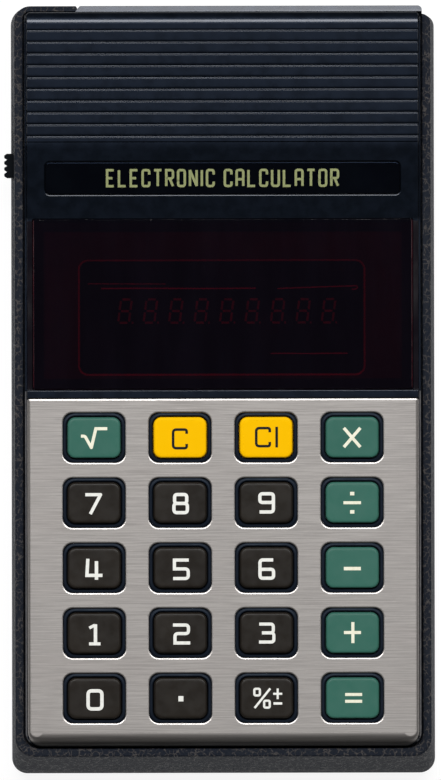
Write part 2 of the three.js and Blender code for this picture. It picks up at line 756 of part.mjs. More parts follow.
function power() {
  const group = new THREE.Group();
  const shift = CONTACT_X - 0.15 - CELL.length / 2;
  const cell = cellGeometry();
  const upper = named('battery_upper', cell, finish.cell, [-shift, UPPER_CELL_Y, CELL_Z]);
  upper.rotation.z = Math.PI;
  const lower = named('battery_lower', cell, finish.cell, [shift, LOWER_CELL_Y, CELL_Z]);

  const springLength = 2 * CONTACT_X - CELL.length - 0.5;
  const spring = contactSpring(springLength);
  const leftSpring = named('contact_spring_left', spring, finish.spring, [
    -CONTACT_X + 0.1,
    LOWER_CELL_Y,
    CELL_Z,
  ]);
  const rightSpring = named('contact_spring_right', spring, finish.spring, [
    CONTACT_X - 0.1,
    UPPER_CELL_Y,
    CELL_Z,
  ]);
  rightSpring.rotation.z = Math.PI;

  const plate = 0.4;
  const link = block(-CONTACT_X - plate, -CONTACT_X, 41.5, 66.0, CELL_Z - 5, CELL_Z + 5);
  // A terminal is a plate with a solder tail that comes out over the bay's ceiling.
  const terminal = (y) => {
    const face = solid(block(CONTACT_X, CONTACT_X + plate, y - 5, y + 5, CELL_Z - 5, CELL_Z + 5));
    return geometryOf(join(face, block(CONTACT_X, CONTACT_X + plate, y - 1.2, y + 1.2, CELL_Z, 19.2)));
  };

  const wireRadius = 0.5;
  const landing = LOGIC_BOARD_Z + BOARD_THICKNESS + wireRadius + 0.1;
  const lead = (startY, x, endX) =>
    wire(
      [
        [CONTACT_X - 0.8, startY, 19.2],
        [x + 0.4, startY - 4.5, 19.2],
        [x, 40.5, 19.25],
        [x, 37.6, 19.25],
        [x, 35.9, 17.6],
        [x, 35.8, 14.0],
        [endX, 32.5, landing + 0.9],
        [endX, 28.2, landing],
      ],
      wireRadius,
      6,
      20,
    );

  const socketRadius = SOCKET.holeRadius - 0.15;
  const barrel = post(0, 0, 0, TAB_TOP_Y - 0.6 - 65, socketRadius, 14).rotateX(-Math.PI / 2);
  let socket = solid(block(SOCKET.x - 2.4, SOCKET.x + 2.4, 55.0, 65.8, SOCKET.z - 3.8, SOCKET.z + 3.8));
  socket = join(socket, barrel.translate(SOCKET.x, 65, SOCKET.z));
  const bore = post(0, 0, 0, 15, 1.8, 12).rotateX(-Math.PI / 2);
  socket = cut(socket, bore.translate(SOCKET.x, 58, SOCKET.z));

  group.add(
    upper,
    lower,
    leftSpring,
    rightSpring,
    named('contact_link_plate', link, finish.spring),
    named('contact_terminal_positive', terminal(LOWER_CELL_Y), finish.spring),
    named('contact_terminal_negative', terminal(UPPER_CELL_Y), finish.spring),
    named('wire_red', lead(LOWER_CELL_Y, 24.0, 22.0), finish.wireRed),
    named('wire_black', lead(UPPER_CELL_Y, 21.0, 18.0), finish.wireBlack),
    named('adapter_socket', geometryOf(socket), finish.chip),
  );
  return group;
}

// ---------------------------------------------------------------- power switch

function powerSwitch() {
  const group = new THREE.Group();
  const { y, z, length, height, travel } = KNOB;
  const teeth = 4;
  const pitch = length / teeth;
  const outerX = -CASE_WIDTH / 2 - 1.2;
  const rootX = outerX + 0.5;
  const padX = -39.1;
  const outline = [
    [padX, -length / 2],
    [padX, length / 2],
  ];
  for (let i = teeth; i > 0; i -= 1) {
    const start = -length / 2 + i * pitch;
    outline.push([rootX, start], [outerX, start - 0.3 * pitch], [outerX, start - 0.7 * pitch]);
  }
  outline.push([rootX, -length / 2]);
  let knob = solid(planPrism(outline.reverse(), -height / 2, height / 2));
  const bodyFace = -36.0;
  knob = join(knob, block(padX - 0.2, bodyFace - 0.3, -1.1, 1.1, -1.1, 1.1));
  const body = block(bodyFace, -31.7, KNOB.y - 4.0, KNOB.y + travel + 3.6, z - 3.5, z + 2.6);
  group.add(
    named('switch_knob', geometryOf(knob), finish.chip, [0, y, z]),
    named('switch_body', body, finish.steel),
  );
  return group;
}

// ---------------------------------------------------------------- cover, screws and feet

function batteryCover() {
  const tongueX = COVER.halfWidth + COVER.tongue;
  const tongueZ = COVER.topZ - 0.8 + RUN_GAP;
  const profile = [
    [-COVER.halfWidth, 0],
    [COVER.halfWidth, 0],
    [COVER.halfWidth, tongueZ],
    [tongueX, tongueZ],
    [tongueX, COVER.topZ],
    [-tongueX, COVER.topZ],
    [-tongueX, tongueZ],
    [-COVER.halfWidth, tongueZ],
  ];
  const panel = solid(lengthBar(profile, COVER.bottomY, TAB_TOP_Y));
  return geometryOf(panel.intersect(solid(rearSkin(CASE_TOP_Y))));
}

function fasteners() {
  const group = new THREE.Group();
  const headTop = BACK_Z + COUNTERBORE.depth - FIT_GAP;
  const shank = 11.0;
  const screw = lathe([[0, -2.0], [1.9, -2.0], [2.5, -1.4], [2.5, 0], [1.2, 0], [1.2, shank], [0, shank + 1.2]], 14);
  screw.rotateX(Math.PI / 2);
  SCREW_SPOTS.forEach(([x, y], i) => {
    group.add(named(`case_screw_${i + 1}`, screw, finish.steel, [x, y, headTop]));
  });
  const foot = lathe([[0, 0], [FOOT.radius - 0.4, 0], [FOOT.radius, 0.4], [FOOT.radius, FOOT.height], [0, FOOT.height]], 16);
  foot.rotateX(Math.PI / 2);
  FOOT_SPOTS.forEach(([x, y], i) => {
    group.add(named(`rubber_foot_${i + 1}`, foot, finish.rubber, [x, y, 0]));
  });
  return group;
}

// ---------------------------------------------------------------- assembly

const group = new THREE.Group();
group.add(
  named('lower_case', lowerCase(), finish.rearShell),
  named('upper_case', upperCase(), finish.frontShell),
  named('key_plate', keyPlate(), finish.brushedPlate),
  named('battery_cover', batteryCover(), finish.rearShell),
  keys(),
  keyboard(),
  display(),
  electronics(),
  power(),
  powerSwitch(),
  fasteners(),
);

export default group;
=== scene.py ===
"""Looks of the pocket calculator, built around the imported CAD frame.

Lengths in this file are millimetres in the frame's own axes: X across the face, Y towards the
display end, Z out of the face. They become metres where a mesh is made.
"""
import json
import math
import random

import bmesh
import bpy
import numpy as np
from mathutils import Matrix, Vector

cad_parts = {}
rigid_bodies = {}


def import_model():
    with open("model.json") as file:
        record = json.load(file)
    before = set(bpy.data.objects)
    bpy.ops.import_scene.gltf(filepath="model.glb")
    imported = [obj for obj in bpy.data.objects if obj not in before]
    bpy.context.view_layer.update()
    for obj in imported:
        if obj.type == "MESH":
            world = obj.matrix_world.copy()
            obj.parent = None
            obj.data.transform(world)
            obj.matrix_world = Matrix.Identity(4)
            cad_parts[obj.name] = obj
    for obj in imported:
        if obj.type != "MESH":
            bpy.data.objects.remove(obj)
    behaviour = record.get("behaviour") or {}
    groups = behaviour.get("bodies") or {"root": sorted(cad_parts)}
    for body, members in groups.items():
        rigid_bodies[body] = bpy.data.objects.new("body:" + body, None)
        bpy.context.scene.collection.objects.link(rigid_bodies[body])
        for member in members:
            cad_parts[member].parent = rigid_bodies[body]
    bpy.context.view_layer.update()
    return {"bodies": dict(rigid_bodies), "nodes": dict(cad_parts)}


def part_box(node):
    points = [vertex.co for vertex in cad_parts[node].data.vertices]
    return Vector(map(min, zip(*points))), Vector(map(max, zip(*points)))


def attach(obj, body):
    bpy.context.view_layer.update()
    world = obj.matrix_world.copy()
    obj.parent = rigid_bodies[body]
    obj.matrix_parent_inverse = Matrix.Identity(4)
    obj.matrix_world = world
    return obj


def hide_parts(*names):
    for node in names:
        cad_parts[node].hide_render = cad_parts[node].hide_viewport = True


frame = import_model()

MM = 0.001
RNG = random.Random(11)

# ------ places taken from the frame


def cad_box(node):
    """Lowest and highest corner of a CAD node, in millimetres."""
    low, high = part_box(node)
    return np.array(low) / MM, np.array(high) / MM


def centre_of(node):
    low, high = cad_box(node)
    return (low + high) / 2


CASE_LOW, CASE_HIGH = cad_box("lower_case")
FRONT_LOW, FRONT_HIGH = cad_box("upper_case")
PLATE_LOW, PLATE_HIGH = cad_box("key_plate")
LENS_LOW, LENS_HIGH = cad_box("display_lens")
MASK_LOW, MASK_HIGH = cad_box("display_mask")
PANEL_LOW, PANEL_HIGH = cad_box("display_panel")
BADGE_LOW, BADGE_HIGH = cad_box("name_plate")
COVER_LOW, COVER_HIGH = cad_box("battery_cover")
KNOB_OUTER_X = cad_box("switch_knob")[0][0]
KEY_NODES = [n for n in frame["nodes"] if n.startswith("key_") and n in frame["bodies"]]

# ------ dimensions shared by pieces

HALF_CASE = CASE_HIGH[0]
RIM_Z = CASE_HIGH[2]
BACK_Z = CASE_LOW[2]
CASE_TOP_Y = 70.8  # outside of the rear shell's display-end wall
TAB_TOP_Y = CASE_HIGH[1]
WALL = 1.8
FLOOR_Z = BACK_Z + WALL
WIDEST_Z = 6.0  # height at which the rear shell is widest
TAB_RIGHT_X = -27.75
FOOT_CORNER = 2.9
BACK_EDGE, RIM_EDGE = 3.0, 0.3

HALF_FRONT = FRONT_HIGH[0]
FLANGE_END_X = HALF_FRONT + 0.3
FRONT_TOP_Y = 71.2
FRONT_BOTTOM_Y = FRONT_LOW[1]
SEAT_Z = 18.0
SEAT_GAP = 0.3
FACE_Z = PLATE_HIGH[2]
UNDER_PLATE_Z = FACE_Z - 0.7
PLATE_THICKNESS = 0.6
FRONT_WALL = 1.7
BOSS_LOW_Z, BOSS_RADIUS, PILOT_TOP_Z, PILOT_RADIUS = 9.1, 3.1, 17, 1.5  # for the case screws
CUT_LOW, CUT_HIGH = 15.0, 30.0  # heights that lie clear of what the front shell's cutters cut
WINDOW_Z = 21.4
WINDOW_TOP_Y = 32.3
SLOPE_TOP_Y = 46.0
BROW = 0.8  # half the length of the round edge at the head of the slope
BAR_DEPTH = 1.6  # the bar between the display window and the key plate
ROLL_Y, ROLL_Z, ROLL_RADIUS = -64.6, 20.3, 2.6

# The face rolls down to the display end.
HEAD_ROLL_Y, HEAD_ROLL, HEAD_END_Y = 68.95, 3.2, 71.1

RIB_COUNT = 10
RIB_FIRST_Y = 47.5
RIB_PITCH = 2.22
RIB_FOOT = 0.3  # from a rib's crest to the foot of its step
RIB_RADIUS = 0.2
RIB_STEP = 0.14
RIB_HOLLOW = 15.0  # power of the land's rise from foot to crest: higher is flatter
RIB_SHARES = (0.03, 0.06, 0.1, 0.14, 0.18, 0.23, 0.3, 0.45, 0.7, 0.9)

# Width, length and corner radius.
CAP = (10.0, 7.7, 1.5)
OPENING = (11.8, 9.4, 1.85)
KEY_HOLE = (10.3, 8.0, 1.65)

# ------ shapes as (points, faces)


def arc(cx, cy, radius, start, stop, steps):
    """Points on an arc, angles in degrees."""
    angles = np.radians(np.linspace(start, stop, steps + 1))
    return [(cx + radius * math.cos(a), cy + radius * math.sin(a)) for a in angles]


def round_rect(x0, x1, y0, y1, low_radius, high_radius=None, steps=8):
    """Anticlockwise outline of a rectangle with round corners, from the lower right corner."""
    top = low_radius if high_radius is None else high_radius
    return (
        arc(x1 - low_radius, y0 + low_radius, low_radius, -90, 0, steps)
        + arc(x1 - top, y1 - top, top, 0, 90, steps)
        + arc(x0 + top, y1 - top, top, 90, 180, steps)
        + arc(x0 + low_radius, y0 + low_radius, low_radius, 180, 270, steps)
    )


def centred(size, spot, grow=0.0):
    """Outline of a (width, length, radius) rectangle round a spot, grown all round."""
    width, length, radius = size
    half_w, half_l = width / 2 + grow, length / 2 + grow
    x, y = spot
    return round_rect(x - half_w, x + half_w, y - half_l, y + half_l, max(radius + grow, 0.02))


def inset_box(low, high, inset, radius):
    """Outline in plan of a box given by its corners, drawn in all round."""
    return round_rect(low[0] + inset, high[0] - inset, low[1] + inset, high[1] - inset, radius)


def ring_at(outline, z):
    return np.array([(x, y, z) for x, y in outline])


def rounding(across, down, degrees):
    """(inset, drop) pairs round an edge; 0 degrees is its side and 90 its top."""
    angles = [math.radians(d) for d in degrees]
    return [(across * (1 - math.cos(a)), down * (1 - math.sin(a))) for a in angles]


def loft(rings, caps=True, closed=False):
    """Skin over rings of equal point count, anticlockwise seen from above and going upwards."""
    count = len(rings[0])
    points = np.concatenate(rings)
    faces = []
    last = len(rings) if closed else len(rings) - 1
    for level in range(last):
        low, high = level * count, ((level + 1) % len(rings)) * count
        for i in range(count):
            j = (i + 1) % count
            faces.append((low + i, low + j, high + j, high + i))
    if caps and not closed:
        faces.append(tuple(reversed(range(count))))
        faces.append(tuple(range((len(rings) - 1) * count, len(rings) * count)))
    return points, faces


def soft_block(outline_at, z0, z1, low_edge=0.0, high_edge=0.0, steps=4):
    """An upright block whose outline_at(inset) is drawn in round its lower and upper edges."""
    degrees = np.linspace(0, 90, steps + 1)
    low = rounding(low_edge, low_edge, degrees) if low_edge else [(0, 0)]
    high = rounding(high_edge, high_edge, degrees) if high_edge else [(0, 0)]
    rings = [ring_at(outline_at(inset), z0 + rise) for rise, inset in low]
    rings += [ring_at(outline_at(inset), z1 - drop) for inset, drop in high]
    return loft(rings)


def block(x0, x1, y0, y1, z0, z1):
    outline = [(x1, y0), (x1, y1), (x0, y1), (x0, y0)]
    return loft([ring_at(outline, z0), ring_at(outline, z1)])


def post(spot, z0, z1, radius, sides=32):
    circle = arc(spot[0], spot[1], radius, 0, 360 * (1 - 1 / sides), sides - 1)
    return loft([ring_at(circle, z0), ring_at(circle, z1)])


def lathe(profile, sides=40):
    """Turned shape about Z from (radius, height) pairs going upwards; the ends lie on the axis."""
    turn = 360 * (1 - 1 / sides)
    return loft([ring_at(arc(0, 0, max(r, 0.01), 0, turn, sides - 1), height) for r, height in profile])


def placed(shape, matrix=None, shift=(0, 0, 0)):
    points, faces = shape
    if matrix is not None:
        points = points @ np.array(matrix.to_3x3()).T
    return points + np.array(shift), faces


def moved(shape, spot, turn=None):
    """A shape drawn round the Z axis, moved to a spot in plan."""
    return placed(shape, turn, (spot[0], spot[1], 0))


def mirrored(right):
    """Closed (x, z) profile from its right-hand points, which run from low to high."""
    left = [(-x, z) for x, z in right]
    return left[:1] + right + left[:0:-1]


def bar_x(profile, x0, x1):
    """A (y, z) profile run along X, anticlockwise seen from +X."""
    return loft([np.array([(x, y, z) for y, z in profile]) for x in (x0, x1)])


def bar_y(profile, y0, y1):
    """An (x, z) profile run along Y, anticlockwise seen from -Y."""
    return loft([np.array([(x, y, z) for x, z in profile]) for y in (y1, y0)])


def tube(path, radius, sides=12):
    """A round wire along a path of points, given as an array."""
    path = np.array(path, float)
    tangents = np.gradient(path, axis=0)
    tangents /= np.linalg.norm(tangents, axis=1)[:, None]
    side = np.cross(tangents[0], (0.0, 0.0, 1.0))
    turns = np.arange(sides) * 2 * math.pi / sides
    rings = []
    for centre, tangent in zip(path, tangents):
        side = side - tangent * np.dot(side, tangent)
        side /= np.linalg.norm(side)
        up = np.cross(tangent, side)
        rings.append(np.array([centre + radius * (math.cos(a) * side + math.sin(a) * up) for a in turns]))
    return loft(rings)


def merged(shapes):
    points, faces, base = [], [], 0
    for p, f in shapes:
        points.append(p)
        faces += [tuple(base + i for i in face) for face in f]
        base += len(p)
    return np.concatenate(points), faces


def flipped(shape):
    points, faces = shape
    return points, [tuple(reversed(f)) for f in faces]


# ------ objects and booleans


def make(name, shape):
    points, faces = shape
    mesh = bpy.data.meshes.new(name)
    mesh.from_pydata([tuple(p) for p in np.array(points) * MM], [], faces)
    mesh.validate()
    obj = bpy.data.objects.new(name, mesh)
    bpy.context.scene.collection.objects.link(obj)
    return obj


def evaluated_mesh(obj):
    bpy.context.view_layer.update()
    return bpy.data.meshes.new_from_object(obj.evaluated_get(bpy.context.evaluated_depsgraph_get()))


def combine(obj, shapes, operation):
    """Boolean of obj with shapes that don't touch each other."""
    tool = make("tool", merged(shapes))
    modifier = obj.modifiers.new("combine", "BOOLEAN")
    modifier.operation, modifier.solver, modifier.object = operation, "MANIFOLD", tool
    result = evaluated_mesh(obj)
    if not len(result.polygons):
        raise RuntimeError(f"a boolean on {obj.name} left nothing")
    obj.modifiers.clear()
    obj.data = result
    bpy.data.objects.remove(tool)
    return obj


def cut(obj, *shapes):
    return combine(obj, shapes, "DIFFERENCE")


def join(obj, *shapes):
    return combine(obj, shapes, "UNION")


def welded(name, shapes):
    """One object from shapes that may cross each other."""
    obj = make(name, shapes[0])
    for shape in shapes[1:]:
        join(obj, shape)
    return obj


def paint(obj, choose):
    """Gives each face the material index that choose() finds from its centre and normal."""
    for polygon in obj.data.polygons:
        polygon.material_index = choose(polygon.center / MM, polygon.normal)


def shape_of(obj):
    """Takes an object's mesh back as a shape and removes the object."""
    mesh = obj.data
    shape = (np.array([v.co for v in mesh.vertices]) / MM, [tuple(p.vertices) for p in mesh.polygons])
    bpy.data.objects.remove(obj)
    return shape


def finish_piece(obj, material, body, nodes=(), angle=38.0, weighted=True):
    """Material, smooth shading with sharp creases, body and frame bookkeeping of a piece."""
    obj.data.materials.clear()
    for m in material if isinstance(material, (list, tuple)) else (material,):
        obj.data.materials.append(m)
    mesh = obj.data
    edit = bmesh.new()
    edit.from_mesh(mesh)
    bmesh.ops.remove_doubles(edit, verts=edit.verts, dist=1e-6)
    bmesh.ops.dissolve_degenerate(edit, dist=1e-7, edges=edit.edges)
    edit.to_mesh(mesh)
    edit.free()
    mesh.shade_smooth()
    mesh.set_sharp_from_angle(angle=math.radians(angle))
    if weighted:
        modifier = obj.modifiers.new("weighted", "WEIGHTED_NORMAL")
        modifier.keep_sharp = True
        modifier.weight = 80
        result = evaluated_mesh(obj)
        obj.modifiers.clear()
        obj.data = result
    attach(obj, body)
    if nodes:
        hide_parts(*nodes)
    return obj


# ------ materials


def srgb(r, g, b):
    """Linear colour from 0-255 display values."""
    def linear(v):
        v /= 255
        return v / 12.92 if v <= 0.04045 else ((v + 0.055) / 1.055) ** 2.4

    return (linear(r), linear(g), linear(b), 1.0)


class Look:
    """A node material under construction; texture lengths are in millimetres."""

    def __init__(self, name, colour, roughness=0.5, metallic=0.0, **sockets):
        self.material = bpy.data.materials.new(name)
        self.material.use_nodes = True
        self.tree = self.material.node_tree
        self.shader = self.tree.nodes["Principled BSDF"]
        self.colour = colour
        self.shader.inputs["Base Color"].default_value = colour
        self.shader.inputs["Roughness"].default_value = roughness
        self.shader.inputs["Metallic"].default_value = metallic
        for key, value in sockets.items():
            self.shader.inputs[key.replace("_", " ")].default_value = value
        self.coordinates = self.node("ShaderNodeTexCoord").outputs["Object"]
        self.last_bump = None

    def node(self, kind, **values):
        made = self.tree.nodes.new(kind)
        for key, value in values.items():
            setattr(made, key, value)
        return made

    def feed(self, socket, value):
        if isinstance(value, bpy.types.NodeSocket):
            self.tree.links.new(value, socket)
        else:
            socket.default_value = value

    def math(self, operation, a, b=0.0, clamp=False):
        made = self.node("ShaderNodeMath", operation=operation, use_clamp=clamp)
        self.feed(made.inputs[0], a)
        self.feed(made.inputs[1], b)
        return made.outputs[0]

    def stretched(self, sx=1.0, sy=1.0, sz=1.0, warp=None, amount=0.0):
        """Object coordinates scaled per axis, optionally pushed about by a colour."""
        source = self.coordinates
        if warp is not None:
            push = self.node("ShaderNodeVectorMath", operation="MULTIPLY_ADD")
            self.feed(push.inputs[0], warp)
            self.feed(push.inputs[1], (amount * MM,) * 3)
            self.feed(push.inputs[2], source)
            source = push.outputs[0]
        scale = self.node("ShaderNodeVectorMath", operation="MULTIPLY")
        self.feed(scale.inputs[0], source)
        self.feed(scale.inputs[1], (sx, sy, sz))
        return scale.outputs[0]

    def noise(self, size, detail=3.0, rough=0.55, vector=None, colour=False):
        made = self.node("ShaderNodeTexNoise")
        self.feed(made.inputs["Vector"], vector or self.coordinates)
        made.inputs["Scale"].default_value = 1 / (size * MM)
        made.inputs["Detail"].default_value = detail
        made.inputs["Roughness"].default_value = rough
        return made.outputs["Color" if colour else "Fac"]

    def cells(self, size, vector):
        """Distance to the nearest edge between cells of the given size."""
        made = self.node("ShaderNodeTexVoronoi", feature="DISTANCE_TO_EDGE")
        self.feed(made.inputs["Vector"], vector)
        made.inputs["Scale"].default_value = 1 / (size * MM)
        made.inputs["Randomness"].default_value = 1.0
        return made.outputs["Distance"]

    def axis(self, name):
        """One object coordinate, in metres."""
        split = self.node("ShaderNodeSeparateXYZ")
        self.feed(split.inputs[0], self.coordinates)
        return split.outputs[name]

    def ramp(self, value, low, high, to_low=0.0, to_high=1.0):
        made = self.node("ShaderNodeMapRange", interpolation_type="SMOOTHSTEP")
        self.feed(made.inputs["Value"], value)
        for key, v in (("From Min", low), ("From Max", high), ("To Min", to_low), ("To Max", to_high)):
            made.inputs[key].default_value = v
        return made.outputs["Result"]

    def tint(self, factor, colour):
        """Mixes another colour over the present one by a factor."""
        made = self.node("ShaderNodeMix", data_type="RGBA")
        self.feed(made.inputs["Factor"], factor)
        self.feed(made.inputs[6], self.colour)
        self.feed(made.inputs[7], colour)
        self.colour = made.outputs[2]
        self.tree.links.new(self.colour, self.shader.inputs["Base Color"])

    def blend(self, value, low, high, share, colour):
        """Mixes in up to a share of another colour as the value rises from low to high."""
        self.tint(self.ramp(value, low, high, 0.0, share), colour)

    def rough(self, value, low, high, at_low, at_high):
        self.tree.links.new(self.ramp(value, low, high, at_low, at_high), self.shader.inputs["Roughness"])

    def bump(self, height, depth):
        """Adds relief of the given depth in millimetres."""
        made = self.node("ShaderNodeBump")
        made.inputs["Strength"].default_value = 1.0
        made.inputs["Distance"].default_value = depth * MM
        self.feed(made.inputs["Height"], height)
        if self.last_bump is not None:
            self.feed(made.inputs["Normal"], self.last_bump)
        self.last_bump = made.outputs["Normal"]
        self.tree.links.new(self.last_bump, self.shader.inputs["Normal"])


def moulded(name, colour, roughness, fleck, grain=0.35, depth=0.012, **sockets):
    """Moulded plastic: slow tone drift, fine texture and a few pale dust flecks."""
    look = Look(name, colour, roughness, **sockets)
    look.blend(look.noise(9.0, 3), 0.35, 0.75, 0.35, fleck)
    look.blend(look.noise(0.55, 2, 0.7), 0.70, 0.82, 0.5, fleck)
    look.rough(look.noise(2.4, 4), 0.3, 0.7, roughness - 0.06, roughness + 0.06)
    look.bump(look.noise(grain, 3, 0.6), depth)
    return look.material


def leather():
    """Grained case plastic: wrinkled ridges with a painted highlight on their crests, strongest near the
    rim.
    """
    look = Look("grained_case", srgb(25, 30, 40), 0.55, Specular_IOR_Level=0.05)
    warp = look.noise(1.6, 3, 0.6, colour=True)
    ridge = look.ramp(look.cells(0.95, look.stretched(1.0, 0.8, 1.0, warp, 1.5)), 0.0, 0.11, 1.0, 0.0)
    small_ridge = look.ramp(look.cells(0.42, look.stretched(1.0, 1.0, 1.0, warp, 0.9)), 0.0, 0.2, 1.0, 0.0)
    crest = look.math("MULTIPLY", ridge, look.ramp(look.noise(1.1, 2), 0.40, 0.54))
    rim_highlight = look.ramp(look.axis("Z"), (RIM_Z - 3.0) * MM, (RIM_Z - 0.6) * MM, 0.45, 0.8)
    look.blend(look.noise(7.0, 3), 0.35, 0.7, 0.4, srgb(35, 39, 46))
    # Painted highlight: paler colour on the ridge crests, and a little on the small ridges, strongest
    # towards the rim.
    look.tint(look.math("MULTIPLY", crest, rim_highlight), srgb(84, 80, 78))
    look.tint(look.math("MULTIPLY", small_ridge, 0.1), srgb(70, 70, 72))
    look.rough(crest, 0.0, 1.0, 0.6, 0.42)
    look.bump(look.math("ADD", crest, look.math("MULTIPLY", small_ridge, 0.35)), 0.06)
    look.bump(look.noise(0.16, 2, 0.6), 0.012)
    return look.material


def brushed():
    """Sheet metal brushed along X: long streaks in tone, gloss and relief, with painted shade where it rolls
    down.
    """
    look = Look("brushed_sheet", srgb(154, 150, 147), 0.5, 1.0)
    long_lines = look.noise(0.22, 3, 0.62, look.stretched(0.02, 1.0, 1.0))
    short_lines = look.noise(0.12, 3, 0.7, look.stretched(0.08, 1.0, 1.0))
    patches = look.noise(6.0, 2, 0.5, look.stretched(0.12, 1.0, 1.0))
    along = look.axis("Y")
    look.blend(long_lines, 0.30, 0.70, 0.45, srgb(119, 116, 114))
    look.blend(short_lines, 0.55, 0.80, 0.5, srgb(175, 170, 164))
    look.blend(patches, 0.45, 0.8, 0.18, srgb(147, 140, 137))
    # Painted shade: the colour darkens over the foot roll, in place of the shade on its steep, downturned
    # part.
    look.tint(look.ramp(along, (ROLL_Y - 2.2) * MM, (ROLL_Y - 0.6) * MM, 0.6, 0.0), srgb(52, 50, 48))
    look.tint(look.ramp(along, (ROLL_Y - 2.0) * MM, (ROLL_Y - 1.2) * MM, 0.93, 0.0), srgb(14, 13, 13))
    look.rough(long_lines, 0.3, 0.7, 0.46, 0.58)
    look.bump(long_lines, 0.006)
    look.bump(short_lines, 0.004)
    return look.material


def edge_highlight_look():
    """Sheet metal edges that tilt towards the lamp, with a painted highlight: brighter and glossier than the
    brushed face.
    """
    look = Look("plate_edge_highlight", srgb(172, 168, 165), 0.34, 1.0)
    wear = look.noise(0.7, 3, 0.6)
    look.blend(wear, 0.35, 0.7, 0.4, srgb(150, 146, 143))
    look.rough(wear, 0.3, 0.7, 0.3, 0.38)
    look.bump(look.noise(0.15, 2), 0.002)
    return look.material


def filter_window(name, clear):
    """Dark red see-through filter: tinted see-through body under a glossy face."""
    look = Look(name, srgb(52, 50, 68), 0.08)
    links = look.tree.links
    through = look.node("ShaderNodeBsdfTransparent")
    through.inputs["Color"].default_value = clear
    fresnel = look.node("ShaderNodeFresnel")
    fresnel.inputs["IOR"].default_value = 1.46
    haze = look.ramp(look.noise(5.0, 3, 0.6, look.stretched(1.0, 0.15, 1.0)), 0.3, 0.7, 0.03, 0.05)
    scratch = look.ramp(look.noise(0.16, 2, 0.8, look.stretched(1.0, 0.03, 1.0)), 0.62, 0.8, 0.0, 0.04)
    look.rough(look.noise(3.0, 3), 0.3, 0.7, 0.05, 0.14)
    mix = look.node("ShaderNodeMixShader")
    cover = look.math("ADD", look.math("ADD", fresnel.outputs[0], haze), scratch, clamp=True)
    links.new(cover, mix.inputs[0])
    links.new(through.outputs[0], mix.inputs[1])
    links.new(look.shader.outputs[0], mix.inputs[2])
    links.new(mix.outputs[0], look.tree.nodes["Material Output"].inputs["Surface"])
    return look.material


def mottled(name, colour, other, roughness, size=1.0, metallic=0.0, depth=0.01, **sockets):
    """General procedural finish: two tones, varied gloss and fine relief."""
    look = Look(name, colour, roughness, metallic, **sockets)
    look.blend(look.noise(size, 4, 0.6), 0.35, 0.7, 0.8, other)
    smooth, dull = max(roughness - 0.08, 0.03), min(roughness + 0.08, 1)
    look.rough(look.noise(size * 2.5, 3), 0.3, 0.7, smooth, dull)
    look.bump(look.noise(size * 0.4, 3), depth)
    return look.material


# Dark plastics: little gloss, with a slightly blue sheen under a thin clear skin.
SHEEN = {"Specular_IOR_Level": 0.168, "Specular_Tint": (0.4, 0.58, 1.0, 1.0)}
COAT = {"Coat_Weight": 0.5, "Coat_Roughness": 0.16}
SOFT = {"Specular_IOR_Level": 0.175}
SOFT_BLUE = {"Specular_IOR_Level": 0.1, "Specular_Tint": (0.65, 0.8, 1.0, 1.0)}
WARM = {"Specular_IOR_Level": 0.175, "Specular_Tint": (1.0, 0.8, 0.1, 1.0)}
KEY_FINISH = {"grain": 0.25, "depth": 0.004}
# Name, colour and fleck colour in display values, roughness, other settings.
MOULDED = {
    "front": ("navy_shell", (3, 6, 11), (8, 11, 18), 0.36, {"grain": 0.3, "depth": 0.003, **SHEEN, **COAT}),
    "collar": ("navy_collar", (22, 28, 38), (28, 34, 44), 0.4, {"grain": 0.3, "depth": 0.004, **SOFT_BLUE}),
    "black_key": ("black_key", (32, 28, 24), (48, 43, 37), 0.35, {**KEY_FINISH, **SOFT}),
    "green_key": ("green_key", (54, 104, 91), (64, 113, 100), 0.35, {**KEY_FINISH, **SOFT}),
    "yellow_key": ("yellow_key", (255, 194, 2), (255, 200, 10), 0.35, {**KEY_FINISH, **WARM}),
    "black_plastic": ("black_plastic", (8, 12, 17), (18, 23, 28), 0.5, {"Specular_IOR_Level": 0.04}),
}
